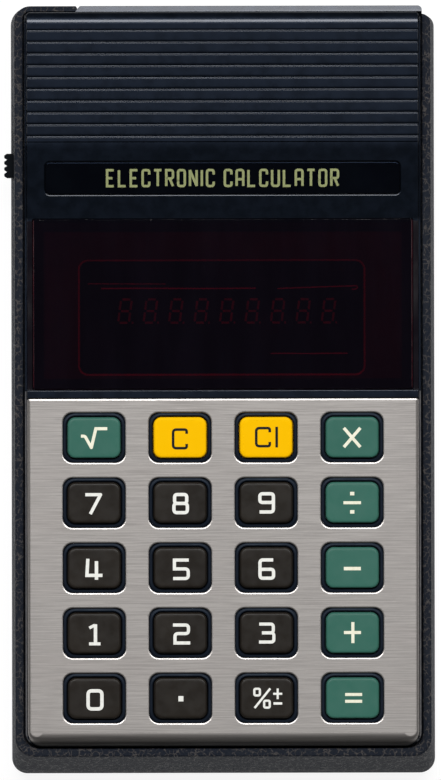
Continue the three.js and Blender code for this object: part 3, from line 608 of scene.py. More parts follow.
# Name, two colours in display values, roughness, size of the mottling and, where they are not
# the usual ones, metallic and depth of relief.
MOTTLED = {
    # The lip's paler colour is a painted highlight along its top.
    "lip": ("lip_highlight", (66, 66, 70), (86, 84, 84), 0.4, 0.9, 0.0, 0.004),
    "cheek": ("window_cheek", (13, 10, 17), (17, 13, 20), 0.14, 4.0, 0.0, 0.001),
    "lens_edge": ("filter_edge", (40, 9, 18), (62, 12, 24), 0.3, 2.0),
    "badge": ("gloss_strip", (4, 5, 9), (6, 8, 12), 0.16, 6.0, 0.0, 0.001),
    "badge_ink": ("strip_ink", (150, 156, 104), (132, 139, 92), 0.5, 0.5),
    "mask": ("window_mask", (53, 32, 34), (65, 40, 43), 0.6, 3.0),
    # Pale lip round the aperture: a painted highlight, seen through the filter as a red line.
    "aperture_highlight": ("window_aperture_highlight", (214, 150, 156), (236, 170, 174), 0.5, 2.0),
    "glass": ("panel_glass", (16, 16, 26), (22, 20, 32), 0.14, 4.0, 0.0, 0.002),
    "segment": ("panel_segment", (186, 150, 150), (130, 96, 100), 0.45, 0.8),
    "filament": ("panel_filament", (255, 226, 236), (244, 200, 214), 0.35, 1.0),
    "white_ink": ("legend_white", (246, 246, 240), (230, 230, 222), 0.45, 0.6),
    "cream_ink": ("legend_cream", (250, 248, 226), (236, 232, 206), 0.45, 0.6),
    "dark_ink": ("legend_dark", (14, 18, 21), (22, 27, 30), 0.5, 0.6),
    "rubber": ("foot_rubber", (20, 20, 21), (32, 32, 33), 0.85, 0.5, 0.0, 0.03),
    "steel": ("bright_steel", (178, 178, 180), (140, 140, 143), 0.35, 0.8, 1.0),
    "plated": ("plated_spring", (205, 198, 182), (176, 168, 150), 0.28, 0.7, 1.0),
    "tin": ("can_steel", (190, 190, 190), (160, 160, 160), 0.32, 1.2, 1.0),
    "jacket": ("cell_jacket", (178, 134, 52), (150, 108, 38), 0.32, 5.0, 0.4, 0.004),
    "jacket_dark": ("cell_band", (26, 26, 28), (38, 38, 40), 0.35, 5.0, 0.0, 0.004),
    "phenolic": ("phenolic_board", (142, 104, 58), (120, 84, 44), 0.55, 1.5),
    "fibre": ("fibre_board", (70, 104, 46), (54, 84, 36), 0.5, 0.5),
    "film": ("dome_film", (214, 210, 196), (192, 188, 172), 0.4, 2.0),
    "ferrite": ("ferrite", (58, 52, 50), (76, 68, 62), 0.55, 0.4, 0.0, 0.04),
    "sleeve": ("blue_sleeve", (34, 62, 112), (48, 78, 130), 0.35, 1.5),
    "ceramic": ("ceramic", (156, 146, 136), (130, 120, 112), 0.6, 0.6),
    "cable": ("grey_cable", (150, 150, 150), (120, 120, 122), 0.5, 1.0),
    "red_wire": ("red_wire", (168, 30, 26), (140, 22, 20), 0.45, 1.0),
    "black_wire": ("black_wire", (18, 18, 20), (32, 32, 34), 0.45, 1.0),
    "chip": ("chip_body", (26, 26, 28), (38, 38, 40), 0.5, 0.6),
}
# Shader settings that a few of the mottled looks add.
EXTRAS = {"badge": SHEEN, "dark_ink": {"Specular_IOR_Level": 0.12}}
M = {"rear": leather(), "plate": brushed(), "edge": edge_highlight_look()}
M["lens"] = filter_window("red_filter", (0.44, 0.08, 0.21, 1.0))
for key, (name, colour, fleck, roughness, settings) in MOULDED.items():
    M[key] = moulded(name, srgb(*colour), roughness, srgb(*fleck), **settings)
for key, (name, colour, other, *rest) in MOTTLED.items():
    M[key] = mottled(name, srgb(*colour), srgb(*other), *rest, **EXTRAS.get(key, {}))

# ------ front shell


def slope_z(y):
    """Height of the sloping panel that carries the name strip."""
    return WINDOW_Z + (y - WINDOW_TOP_Y) / (SLOPE_TOP_Y - WINDOW_TOP_Y) * (FACE_Z - WINDOW_Z)


def rib_land(start, crest, step):
    """(y, z) points rising by a step from the foot of a rib to its crest, flat for most of the way."""
    return [(start + (crest - start) * t, FACE_Z - step * (1 - t) ** RIB_HOLLOW) for t in RIB_SHARES]


def face_profile():
    """(y, z) along the middle of the front shell, from the key end to the display end."""
    foot_z, inner = ROLL_Z - 0.05, ROLL_RADIUS - 0.7
    points = [(FRONT_BOTTOM_Y, foot_z), (ROLL_Y - inner, foot_z)]
    points += arc(ROLL_Y, ROLL_Z, inner, 170, 90, 8)
    points += [(-BAR_DEPTH - 0.02, UNDER_PLATE_Z), (-BAR_DEPTH, FACE_Z - 0.18)]
    points += arc(-BAR_DEPTH + 0.16, FACE_Z - 0.16, 0.16, 160, 90, 4)
    points += arc(-0.26, FACE_Z - 0.26, 0.26, 90, 10, 5)
    points += [(0.0, FACE_Z - 0.4), (0.03, WINDOW_Z)]
    for share in (0.0, 0.25, 0.5, 0.75, 1.0):  # hollow bend at the foot of the slope
        y = WINDOW_TOP_Y - 0.5 + share
        points.append((y, WINDOW_Z + max(slope_z(y) - WINDOW_Z, 0) * share * share + 0.012 * share))
    fall = (FACE_Z - WINDOW_Z) / (SLOPE_TOP_Y - WINDOW_TOP_Y)
    for share in np.linspace(-1, 1, 9):  # round brow at the head of the slope
        points.append((SLOPE_TOP_Y + BROW * share, FACE_Z - fall * BROW * (1 - share) ** 2 / 4))
    for i in range(RIB_COUNT):
        crest = RIB_FIRST_Y + i * RIB_PITCH
        start = crest - (RIB_PITCH - RIB_FOOT if i else 0.9)
        points += rib_land(start, crest, RIB_STEP if i else 0.0)
        points += arc(crest - 0.02, FACE_Z - RIB_RADIUS, RIB_RADIUS, 90, 25, 6)
        points += [(crest + 0.22, FACE_Z - RIB_STEP * 0.8), (crest + 0.29, FACE_Z - RIB_STEP)]
    top = RIB_FIRST_Y + (RIB_COUNT - 1) * RIB_PITCH + RIB_FOOT
    points += rib_land(top, HEAD_ROLL_Y, RIB_STEP)
    stop = math.degrees(math.acos((HEAD_END_Y + 0.3 - HEAD_ROLL_Y) / HEAD_ROLL))
    points += arc(HEAD_ROLL_Y, FACE_Z - HEAD_ROLL, HEAD_ROLL, 90, stop, 14)
    return np.array(points)


PROFILE = face_profile()
LIP_DROP = 0.45
HEAD_LIP_Z = 20.9
# (inset, drop) pairs over the lip, from its outer wall to the groove beside the face.
LIP_ROWS = [(0, 0.16), (0.03, 0.05), (0.08, 0.01), (0.14, 0), (0.22, 0), (0.29, 0.02)]
LIP_ROWS += [(0.32, 0.12), (0.335, LIP_DROP), (0.41, LIP_DROP)]
LIP_NARROWING, LIP_SINKING = 0.85, 0.9  # round the display end
FACE_INSET, FACE_EDGE = 0.43, 0.12


def face_z(y):
    return float(np.interp(y, PROFILE[:, 0], PROFILE[:, 1]))


def lip_z(y):
    """Height of the thin lip that runs round the shell beside the face."""
    by_window, by_ribs = WINDOW_Z - 0.4, FACE_Z - LIP_DROP - 0.2
    marks = [(-80, UNDER_PLATE_Z), (0.0, UNDER_PLATE_Z), (0.5, by_window), (WINDOW_TOP_Y, by_window)]
    marks += [(SLOPE_TOP_Y, by_ribs), (69.2, by_ribs), (70.6, HEAD_LIP_Z)]
    height = float(np.interp(y, *zip(*marks)))
    if y < ROLL_Y:
        height = min(height, face_z(y) + 0.35)
    return height


def side_path(half, low, high, low_radius, high_radius, stations, steps=10):
    """Right-hand outline from the lower end to the upper end: points, outward normals and how
    far each one has turned towards the lower (-1) or the upper (+1) end."""
    def corner(y, radius, start):
        points = []
        for degrees in np.linspace(start, start + 90, steps + 1):
            out, along = math.cos(math.radians(degrees)), math.sin(math.radians(degrees))
            points.append((half - radius + radius * out, y + radius * along, out, along, degrees / 90))
        return points

    rows = corner(low + low_radius, low_radius, -90)
    for y in stations:
        if low + low_radius + 1e-3 < y < high - high_radius - 1e-3:
            rows.append((half, y, 1.0, 0.0, 0.0))
    rows += corner(high - high_radius, high_radius, 0)
    return np.array(rows)


def ease(t):
    t = min(max(t, 0.0), 1.0)
    return t * t * (3 - 2 * t)


def full_ring(path, insets, heights):
    """Closed ring from the right-hand path and its mirror image."""
    right = [(x - nx * s, y - ny * s, z) for (x, y, nx, ny, _), s, z in zip(path, insets, heights)]
    left = [(-x, y, z) for x, y, z in reversed(right)]
    return np.array(right + left)


def front_body():
    """Solid body of the front shell: outer wall, lip, groove and face."""
    path = side_path(HALF_FRONT, FRONT_BOTTOM_Y, FRONT_TOP_Y, 2.7, 0.9, PROFILE[:, 0])
    lip = np.array([lip_z(y) for _, y, *_ in path])
    past = np.clip(path[:, 4], 0, 1)  # the lip fades away round the head end
    squeeze = 1 - LIP_NARROWING * past
    rings = [full_ring(path, lip * 0, lip * 0 + SEAT_Z + 0.1)]
    for inset, drop in LIP_ROWS:
        rings.append(full_ring(path, inset * squeeze, lip - drop - LIP_SINKING * past))
    turns = (0, 30, 60, 90)
    for degrees, (inset, drop) in zip(turns, rounding(FACE_EDGE, FACE_EDGE, turns)):
        insets = FACE_INSET * squeeze + inset
        heights = []
        for (_, y, _, ny, _), s, l in zip(path, insets, lip):
            heights.append(max(face_z(y - ny * s) - drop, l - 0.44 + 0.001 * degrees))
        rings.append(full_ring(path, insets, heights))
    points, faces = loft(rings, caps=False)
    count = len(rings[0])
    base, half = (len(rings) - 1) * count, count // 2
    for i in range(half - 1):
        j = count - 1 - i
        faces.append((base + i, base + i + 1, base + j - 1, base + j))
    faces.append(tuple(reversed(range(count))))
    return make("front_shell", (points, faces))


def flange():
    """Flange over the rear shell's end wall, with a sloped and rounded upper face."""
    inner, outer, front, seat = CASE_TOP_Y + 0.25, TAB_TOP_Y, FRONT_TOP_Y, SEAT_Z + 0.5
    profile = [(inner, 10.5), (outer - 0.15, 10.5), (outer, 10.7), (outer, 20.7), (outer - 0.02, 20.8)]
    profile += [(outer - 0.07, 20.86), (front + 0.1, 21.08), (front + 0.02, 21.06), (front + 0.02, 20.3)]
    profile += [(front - 0.5, 20.1), (front - 0.5, seat), (inner, seat)]
    left, radius = TAB_RIGHT_X, 0.8
    plan = [(left + 0.1, 60), (FLANGE_END_X, 60)]
    plan += arc(FLANGE_END_X - radius, outer - radius, radius, 0, 90, 8)
    plan += [(left + 0.95, outer), (left + 0.45, outer - 0.5), (left + 0.1, outer - 1.0)]
    strip = make("strip", bar_x(profile, -HALF_FRONT - 1, HALF_FRONT + 1))
    combine(strip, [loft([ring_at(plan, 9), ring_at(plan, CUT_HIGH)])], "INTERSECT")
    return shape_of(strip)


def front_shell():
    shell = front_body()
    join(shell, flange())
    # The rooms under the keys and behind the display.
    inner = HALF_FRONT - 1.5
    ceiling = FACE_Z - PLATE_THICKNESS - FRONT_WALL
    ledge = LENS_LOW[2] - 1.1
    low, high, mid = FRONT_BOTTOM_Y, FRONT_TOP_Y - 1.5, 34.0
    key_room = [(low + 1.6, CUT_LOW), (-BAR_DEPTH, CUT_LOW), (-BAR_DEPTH, ceiling)]
    key_room += [(low + 3.2, ceiling), (low + 1.6, ceiling - 1.2)]
    head_room = [(mid, CUT_LOW), (high, CUT_LOW), (high, 20.6), (SLOPE_TOP_Y, 20.8)]
    head_room.append((mid, slope_z(mid) - FRONT_WALL))
    cut(shell, bar_x(key_room, -inner, inner), bar_x(head_room, -inner, inner))
    cut(shell, block(-inner, inner, -BAR_DEPTH - 1, 35.0, CUT_LOW, ledge))
    # Display recess and opening, and the name strip's recess with round lips.
    x, y0, y1, gap, ledge_width = LENS_HIGH[0], LENS_LOW[1], LENS_HIGH[1], 0.12, 2
    recess = round_rect(-x - gap, x + gap, y0 - gap, y1 + gap, 0.4)
    cut(shell, loft([ring_at(recess, LENS_LOW[2] - 0.05), ring_at(recess, CUT_HIGH)]))
    x, y0, y1 = x - ledge_width, y0 + ledge_width, y1 - ledge_width
    cut(shell, block(-x, x, y0, y1, CUT_LOW, CUT_HIGH))
    cut(shell, badge_tool())
    # Holes for the keys, then the collars that guide them.
    spots = [tuple(centre_of(n)[:2]) for n in KEY_NODES]
    outlines = [centred(KEY_HOLE, spot, 0.12) for spot in spots]
    cut(shell, *[loft([ring_at(outline, z) for z in (CUT_LOW, CUT_HIGH)]) for outline in outlines])
    join(shell, *[collar(spot, ceiling + 0.3) for spot in spots])
    # Bosses for the case screws.
    bosses = []
    for i in range(4):
        spot = centre_of(f"case_screw_{i + 1}")
        bosses.append((spot, (ceiling if spot[1] < 0 else ledge) + 0.4))
    join(shell, *[post(s, BOSS_LOW_Z, top, BOSS_RADIUS) for s, top in bosses])
    cut(shell, *[post(s, BOSS_LOW_Z - 1.1, PILOT_TOP_Z, PILOT_RADIUS) for s, _ in bosses])
    finish_piece(shell, [M[k] for k in SHELL_LOOKS], "case", ["upper_case"], angle=30)
    paint(shell, lambda centre, normal: SHELL_LOOKS.index(shell_look(centre, normal, spots)))
    return shell


SHELL_LOOKS = ("front", "collar", "lip", "cheek")


def shell_look(spot, normal, openings):
    """Which finish a face of the front shell has: collars, a lip with painted highlight and window cheeks
    differ.
    """
    x, y, z = spot
    side_lip = abs(x) > HALF_FRONT - 0.33 and normal.z > 0.5 and z > UNDER_PLATE_Z - 0.2 and y < -0.5
    foot_lip = y < ROLL_Y and normal.z > 0.9 and z > UNDER_PLATE_Z
    # Top faces of the lip take the paler look, a painted highlight.
    if side_lip or foot_lip:
        return "lip"
    by_window = 0.5 < y < WINDOW_TOP_Y - 0.6 and z > WINDOW_Z - 0.5
    if by_window and LENS_HIGH[0] < abs(x) < HALF_FRONT - 0.4:
        return "cheek"
    if z > FACE_Z - 1.2 and y < 0 and normal.z > 0.1:
        for ox, oy in openings:
            if abs(x - ox) < OPENING[0] / 2 and abs(y - oy) < OPENING[1] / 2:
                return "collar"
    return "front"


def collar(spot, low_z):
    """Ring inside a plate opening: a low round crest between the plate and the key."""
    crest = FACE_Z - 0.24
    width = (OPENING[0] - 0.16 - KEY_HOLE[0]) / 2
    rows = [(0.0, low_z), (0.0, crest - 0.3), (0.05, crest - 0.14), (0.14, crest - 0.05), (0.26, crest)]
    rows += [(width * 0.7, crest - 0.03), (width * 0.93, crest - 0.1), (width, crest - 0.25), (width, low_z)]
    return loft([ring_at(centred(KEY_HOLE, spot, grow), z) for grow, z in reversed(rows)], closed=True)


BADGE_LEVEL = 0.06  # how far the name strip lies below the sloping panel


def badge_outline(grow):
    """Outline of the name strip, grown all round."""
    half = BADGE_HIGH[0] + grow
    return round_rect(-half, half, BADGE_LOW[1] - grow, BADGE_HIGH[1] + grow, max(0.9 + grow, 0.1))


def on_slope(outline, offset):
    """Outline laid on the sloping panel, raised by the offset."""
    return np.array([(x, y, slope_z(y) + offset) for x, y in outline])


def badge_tool():
    """Cutter for the name strip's recess, widening towards its upper edge."""
    gap, across, down = 0.1, 0.2, 0.22
    rings = [on_slope(badge_outline(gap), -0.6)]
    for grow, drop in rounding(across, down, (0, 30, 60, 90)):
        rings.append(on_slope(badge_outline(gap + grow), -drop))
    rings.append(on_slope(badge_outline(gap + across + 0.04), 0.3))
    return loft(rings)


def name_strip():
    edge = 0.22
    rings = [on_slope(badge_outline(0), -0.56)]
    for inset, drop in rounding(edge, edge, np.linspace(0, 90, 5)):
        rings.append(on_slope(badge_outline(-inset), -BADGE_LEVEL - drop))
    strip = make("name_strip", loft(rings))
    return finish_piece(strip, M["badge"], "case", ["name_plate"])


# ------ key plate

HEAD_BEVEL = 0.68  # how much shallower than round the plate's display-end edge is
PLATE_LIP, PLATE_LIP_FALL = 0.33, 0.12  # width and depth of the round lip of an opening


def brushed_plate():
    path = side_path(PLATE_HIGH[0], PLATE_LOW[1], PLATE_HIGH[1], 2.8, 0.5, [0.0], steps=14)
    side, foot, head = 0.75, ROLL_RADIUS, 0.42  # edge radii
    edge = np.array([side + (foot - side) * ease(-t) + (head - side) * ease(t) for *_, t in path])
    depth = np.maximum(edge, PLATE_THICKNESS)
    inner = np.maximum(edge - PLATE_THICKNESS, 0.04)
    wall = PLATE_THICKNESS * np.clip(inner / (foot - PLATE_THICKNESS), 0.06, 1.0)
    under = FACE_Z - PLATE_THICKNESS
    rings = []
    for inset, drop in rounding(inner, inner, range(90, -1, -15)):
        rings.append(full_ring(path, wall + inset, under - drop))
    rings.append(full_ring(path, wall * 0.98, FACE_Z - depth))
    rings.append(full_ring(path, wall * 0.0, FACE_Z - depth))
    bevel = 1 - HEAD_BEVEL * np.array([ease(t) for *_, t in path])
    for i, (inset, drop) in enumerate(rounding(edge, edge, range(0, 91, 15))):
        heights = FACE_Z - drop * bevel
        if i == 0:
            heights = np.maximum(heights, FACE_Z - depth + 0.02)
        rings.append(full_ring(path, inset, heights))
    plate = make("brushed_plate", loft(rings))
    levels = [(0.0, CUT_LOW), (0.0, FACE_Z - PLATE_LIP_FALL)]
    levels += [(grow, FACE_Z - drop) for grow, drop in rounding(PLATE_LIP, PLATE_LIP_FALL, (22, 45, 67, 90))]
    levels.append((PLATE_LIP + 0.02, FACE_Z + 2))
    tools = []
    for node in KEY_NODES:
        spot = tuple(centre_of(node)[:2])
        tools.append(loft([ring_at(centred(OPENING, spot, grow), z) for grow, z in levels]))
    cut(plate, *tools)
    finish_piece(plate, [M["plate"], M["edge"]], "case", ["key_plate"], angle=32)
    # Faces that tilt towards the lamp get the edge look: a painted highlight along the lamp side of the
    # edges and lips.
    paint(plate, lambda _, normal: int(normal.y > 0.04 and normal.z > 0.3))
    return plate


# ------ keys and their legends

KEY_COLOURS = {"key_clear": "yellow_key", "key_clear_indicator": "yellow_key"}
for green in ("square_root", "multiply", "divide", "minus", "plus", "equals"):
    KEY_COLOURS["key_" + green] = "green_key"
INKS = {"black_key": "white_ink", "green_key": "cream_ink", "yellow_key": "dark_ink"}


def key_cap(node):
    """Key with a flange that holds it in the case and a softly rounded top."""
    low, high = cad_box(node)
    spot, top = ((low[0] + high[0]) / 2, (low[1] + high[1]) / 2), high[2]
    flange_low, flange_top = low[2], low[2] + 0.85
    rows = [(0.6, flange_low), (0.7, flange_low + 0.1), (0.7, flange_top - 0.1), (0.6, flange_top)]
    rows += [(0.02, flange_top), (0.0, flange_top + 0.1)]
    rows += [(-inset, top - drop - 0.015) for inset, drop in rounding(0.42, 0.5, range(0, 91, 15))]
    rows.append((-0.8, top))
    cap = make("cap_" + node[4:], loft([ring_at(centred(CAP, spot, grow), z) for grow, z in rows]))
    colour = KEY_COLOURS.get(node, "black_key")
    return finish_piece(cap, M[colour], node, [node])


def bent(points, radius, closed=False, steps=5):
    """A polyline with its corners rounded; a corner may carry its own radius as a third value."""
    count = len(points)
    path = []
    for i in range(count):
        here = np.array(points[i][:2], float)
        r = points[i][2] if len(points[i]) > 2 else radius
        if not closed and i in (0, count - 1) or r < 0.02:
            path.append(tuple(here))
            continue
        before = np.array(points[i - 1][:2], float) - here
        after = np.array(points[(i + 1) % count][:2], float) - here
        la, lb = np.linalg.norm(before), np.linalg.norm(after)
        reach = min(r, la * 0.49, lb * 0.49)
        a, b = before / la * reach, after / lb * reach
        for t in np.linspace(0, 1, steps + 1):
            path.append(tuple(here + a * (1 - t) ** 2 + b * t**2))
    return path


def stroke(points, width, z0, z1, radius=0.0, closed=False):
    """A flat bar of the given width along a path in plan, from one height to another."""
    path = np.array(bent(points, radius, closed))
    count = len(path)
    left, right = [], []
    for i in range(count):
        before = path[i] - path[i - 1] if closed or i else path[1] - path[0]
        after = path[(i + 1) % count] - path[i] if closed or i < count - 1 else before
        before, after = before / np.linalg.norm(before), after / np.linalg.norm(after)
        normal = np.array((-(before + after)[1], (before + after)[0]))
        normal /= np.linalg.norm(normal)
        reach = width / 2 / max(abs(np.dot(normal, (-before[1], before[0]))), 0.4)
        left.append(path[i] + normal * reach)
        right.append(path[i] - normal * reach)
    points3, faces = [], []
    for l, r in zip(left, right):
        points3 += [(l[0], l[1], z0), (r[0], r[1], z0), (r[0], r[1], z1), (l[0], l[1], z1)]
    sections = count if closed else count - 1
    for i in range(sections):
        a, b = 4 * i, 4 * ((i + 1) % count)
        for k in range(4):
            n = (k + 1) % 4
            faces.append((a + k, a + n, b + n, b + k))
    if not closed:
        faces += [(3, 2, 1, 0), tuple(4 * (count - 1) + k for k in range(4))]
    return np.array(points3), [tuple(reversed(f)) for f in faces]


def loop(x0, x1, y0, y1):
    return [(x0, y0), (x1, y0), (x1, y1), (x0, y1)]


W = 0.62  # stroke of the digits
THIN = 0.42  # stroke of the percent sign
# Each legend is a list of strokes round the key's centre: points, width and, where a stroke is
# bent or closed, its corner radius and whether it is closed. A single point is a round joint.
LEGENDS = {
    "square_root": [
        ([(-2.45, 0.3), (-1.7, 0.3, 0.3), (-0.5, -1.85)], 0.56),
        ([(-0.5, -1.85), (0.35, 1.7, 0), (2.5, 1.7)], 0.58),
        ([(-0.5, -1.85)], 0.58),
    ],
    "clear": [
        ([(1.25, 0.7), (1.25, 1.5), (-1.3, 1.5), (-1.3, -2.0), (1.25, -2.0), (1.25, -1.2)], 0.5, 0.62),
    ],
    "clear_indicator": [
        ([(0.7, 0.95), (0.7, 1.75), (-1.85, 1.75), (-1.85, -1.65), (0.7, -1.65), (0.7, -0.85)], 0.5, 0.62),
        ([(2.0, 2.0), (2.0, -1.9)], 0.5),
    ],
    "multiply": [([(-1.55, 1.75), (1.55, -1.85)], 0.58), ([(1.55, 1.75), (-1.55, -1.85)], 0.58)],
    "7": [
        ([(-1.65, 1.55), (1.22, 1.55)], 0.6),
        ([(1.22, 1.55), (-0.72, -2.1)], 0.6),
        ([(1.22, 1.55)], 0.6),
    ],
    "8": [
        (loop(-1.05, 1.24, -0.13, 1.55), W, 0.55, True),
        (loop(-1.17, 1.36, -1.87, -0.13), W, 0.6, True),
    ],
    "9": [
        (loop(-1.19, 1.36, 0.02, 1.66), W, 0.55, True),
        ([(1.36, 0.9), (1.36, -1.77), (-1.25, -1.77)], W, 0.6),
    ],
    "divide": [
        ([(-1.65, -0.06), (1.65, -0.06)], 0.56),
        ([(-0.4, 1.66), (0.4, 1.66)], 0.66),
        ([(-0.4, -1.78), (0.4, -1.78)], 0.66),
    ],
    "4": [
        ([(-1.2, 1.75), (-1.38, -1.38, 0), (1.55, -1.38)], W, 0.1),
        ([(0.42, 1.3), (0.42, -2.2)], 0.64),
    ],
    "5": [
        ([(1.6, 1.47), (-1.1, 1.47, 0), (-1.1, -0.19, 0), (1.5, -0.19), (1.5, -2.0), (-1.35, -2.0)],
         0.6, 0.62),
    ],
    "6": [
        (loop(-1.19, 1.36, -1.97, -0.3), W, 0.55, True),
        ([(1.3, 1.47), (-1.19, 1.47), (-1.19, -1.2)], W, 0.6),
    ],
    "minus": [([(-1.6, -0.19), (1.6, -0.19)], 0.64)],
    "1": [
        ([(0.21, 1.68), (0.21, -2.1)], 0.64),
        ([(-0.95, 0.98), (0.1, 1.52)], 0.56),
        ([(-1.0, -2.0), (1.15, -2.0)], 0.58),
    ],
    "2": [
        ([(-1.4, 1.51), (1.52, 1.51), (1.52, -0.1), (-1.02, -0.1), (-1.02, -1.87, 0), (1.85, -1.87)],
         0.6, 0.6),
    ],
    "3": [
        ([(-1.35, 1.66), (1.3, 1.66), (1.3, 0.02), (-0.85, 0.02)], 0.58, 0.55),
        ([(-0.85, 0.0), (1.4, 0.0), (1.4, -1.72), (-1.4, -1.72)], 0.58, 0.55),
    ],
    "plus": [([(-1.6, 0.04), (1.6, 0.04)], 0.58), ([(0.08, 2.0), (0.08, -1.95)], 0.58)],
    "0": [(loop(-1.2, 1.4, -1.98, 1.42), 0.64, 0.72, True)],
    "point": [([(-0.4, -0.1), (0.55, -0.1)], 1.0)],
    "percent_sign": [
        (loop(-2.3, -1.25, 0.5, 1.75), THIN, 0.3, True),
        (loop(-0.45, 0.6, -1.8, -0.5), THIN, 0.3, True),
        ([(-2.25, -1.87), (0.7, 1.8)], THIN),
        ([(1.25, 0.8), (2.95, 0.8)], 0.4),
        ([(2.1, 1.8), (2.1, -0.2)], 0.4),
        ([(1.3, -1.02), (2.95, -1.02)], 0.45),
    ],
    "equals": [([(-1.4, 0.64), (1.8, 0.64)], 0.56), ([(-1.4, -0.64), (1.8, -0.64)], 0.56)],
}


def key_legend(node):
    spot, top = centre_of(node), cad_box(node)[1][2]
    low, high = top - 0.25, top + 0.012
    shapes = []
    for points, width, *bend in LEGENDS[node[4:]]:
        if len(points) == 1:
            shape = post(points[0], low, high, width / 2)
        else:
            shape = stroke(points, width, low, high, *bend)
        shapes.append(moved(shape, spot))
    colour = KEY_COLOURS.get(node, "black_key")
    return finish_piece(welded("legend_" + node[4:], shapes), M[INKS[colour]], node, angle=30)


# ------ name strip lettering

# Plain narrow capitals on a 1 x 1 grid: stroke paths with the corner radius as a share of the width.
LETTERS = {
    "E": [[(1, 1), (0, 1), (0, 0), (1, 0)], [(0, 0.5), (0.8, 0.5)]],
    "L": [[(0, 1), (0, 0), (1, 0)]],
    "C": [[(1, 0.72), (1, 1, 0.35), (0, 1, 0.35), (0, 0, 0.35), (1, 0, 0.35), (1, 0.28)]],
    "T": [[(-0.05, 1), (1.05, 1)], [(0.5, 1), (0.5, 0)]],
    "R": [[(0, 0), (0, 1), (1, 1, 0.35), (1, 0.48, 0.35), (0, 0.48)], [(0.5, 0.48), (1, 0)]],
    "O": [[(0, 0.3), (0, 1, 0.35), (1, 1, 0.35), (1, 0, 0.35), (0, 0, 0.35), (0, 0.4)]],
    "N": [[(0, 0), (0, 1)], [(0, 1), (1, 0)], [(1, 0), (1, 1)]],
    "I": [[(0, 1), (0, 0)]],
    "A": [[(0, 0), (0, 1, 0.35), (1, 1, 0.35), (1, 0)], [(0, 0.42), (1, 0.42)]],
    "U": [[(0, 1), (0, 0, 0.35), (1, 0, 0.35), (1, 1)]],
}
INK_ROOT, INK_RELIEF = 0.15, 0.012  # depth inlaid in the strip and height above it
LETTER_WIDTH, LETTER_HEIGHT, LETTER_GAP, WORD_GAP, LETTER_STROKE = 1.25, 3.0, 0.98, 2.1, 0.46


def strip_lettering():
    words = "ELECTRONIC CALCULATOR"
    places, x = [], 0.0
    for letter in words:
        if letter == " ":
            x += WORD_GAP - LETTER_GAP
            continue
        wide = 0.0 if letter == "I" else LETTER_WIDTH
        places.append((letter, x, wide))
        x += wide + LETTER_GAP
    total = x - LETTER_GAP
    middle = (BADGE_LOW[1] + BADGE_HIGH[1]) / 2
    bars = []
    for letter, start, wide in places:
        for path in LETTERS[letter]:
            points = []
            for p in path:
                row = [start - total / 2 + p[0] * (wide or 1), (p[1] - 0.5) * LETTER_HEIGHT]
                points.append(tuple(row + ([p[2] * LETTER_WIDTH] if len(p) > 2 else [])))
            bar, faces = stroke(points, LETTER_STROKE, 0.0, 1.0, 0.0)
            flat = bar[:, 2].copy()
            bar[:, 1] += middle
            level = np.array([slope_z(y) for y in bar[:, 1]]) - BADGE_LEVEL - INK_ROOT
            bar[:, 2] = level + (INK_ROOT + INK_RELIEF) * flat
            bars.append((bar, faces))
    return finish_piece(welded("strip_lettering", bars), M["badge_ink"], "case", angle=30)


# ------ display window


def window_lens():
    edge = 0.22
    x, y0, y1 = LENS_HIGH[0], LENS_LOW[1], LENS_HIGH[1]

    def outline(inset):
        return round_rect(-x + inset, x - inset, y0 + inset, y1 - inset, max(0.5 - inset, 0.1), None, 4)

    lens = make("window_lens", soft_block(outline, LENS_LOW[2], LENS_HIGH[2], 0, edge, 3))
    finish_piece(lens, [M["lens"], M["lens_edge"]], "case", ["display_lens"])
    paint(lens, lambda centre, normal: int(abs(centre.x) > x - edge and abs(normal.x) > 0.2))
    return lens


APERTURE = (53.4, 21.1, 1.5)  # width, length and corner radius of the mask's opening
APERTURE_SPOT = (-0.2, 13.6)


def window_mask():
    top = MASK_HIGH[2]
    body = soft_block(lambda inset: inset_box(MASK_LOW, MASK_HIGH, inset, 0.6), MASK_LOW[2], top, 0, 0.15)
    mask = make("window_mask", body)
    levels = [(0.0, 10), (0.0, top - 0.45), (0.06, top - 0.2), (0.2, top - 0.05)]
    levels += [(0.45, top + 0.02), (0.5, CUT_HIGH)]
    cut(mask, loft([ring_at(centred(APERTURE, APERTURE_SPOT, grow), z) for grow, z in levels]))
    finish_piece(mask, [M["mask"], M["aperture_highlight"]], "case", ["display_mask"])
    ax, ay = APERTURE[0] / 2 + 0.55, APERTURE[1] / 2 + 0.55

    # Bevel faces round the aperture take the pale look, a painted highlight.
    def on_lip(centre, normal):
        near = abs(centre.x - APERTURE_SPOT[0]) < ax and abs(centre.y - APERTURE_SPOT[1]) < ay
        return int(near and centre.z > top - 0.4 and 0.15 < normal.z < 0.98)

    paint(mask, on_lip)
    return mask


def display_glass():
    def outline(inset):
        return inset_box(PANEL_LOW, PANEL_HIGH, inset, max(1.2 - inset, 0.3))

    glass = make("display_glass", soft_block(outline, PANEL_LOW[2], PANEL_HIGH[2], 0.2, 0.5))
    return finish_piece(glass, M["glass"], "case", ["display_panel"])


DIGIT_COUNT, DIGIT_PITCH, DIGIT_WIDTH, DIGIT_HEIGHT, SLANT = 9, 4.8, 2.02, 4.4, 0.13
DIGIT_SHIFT = 0.75
DIGIT_Y = 14.85


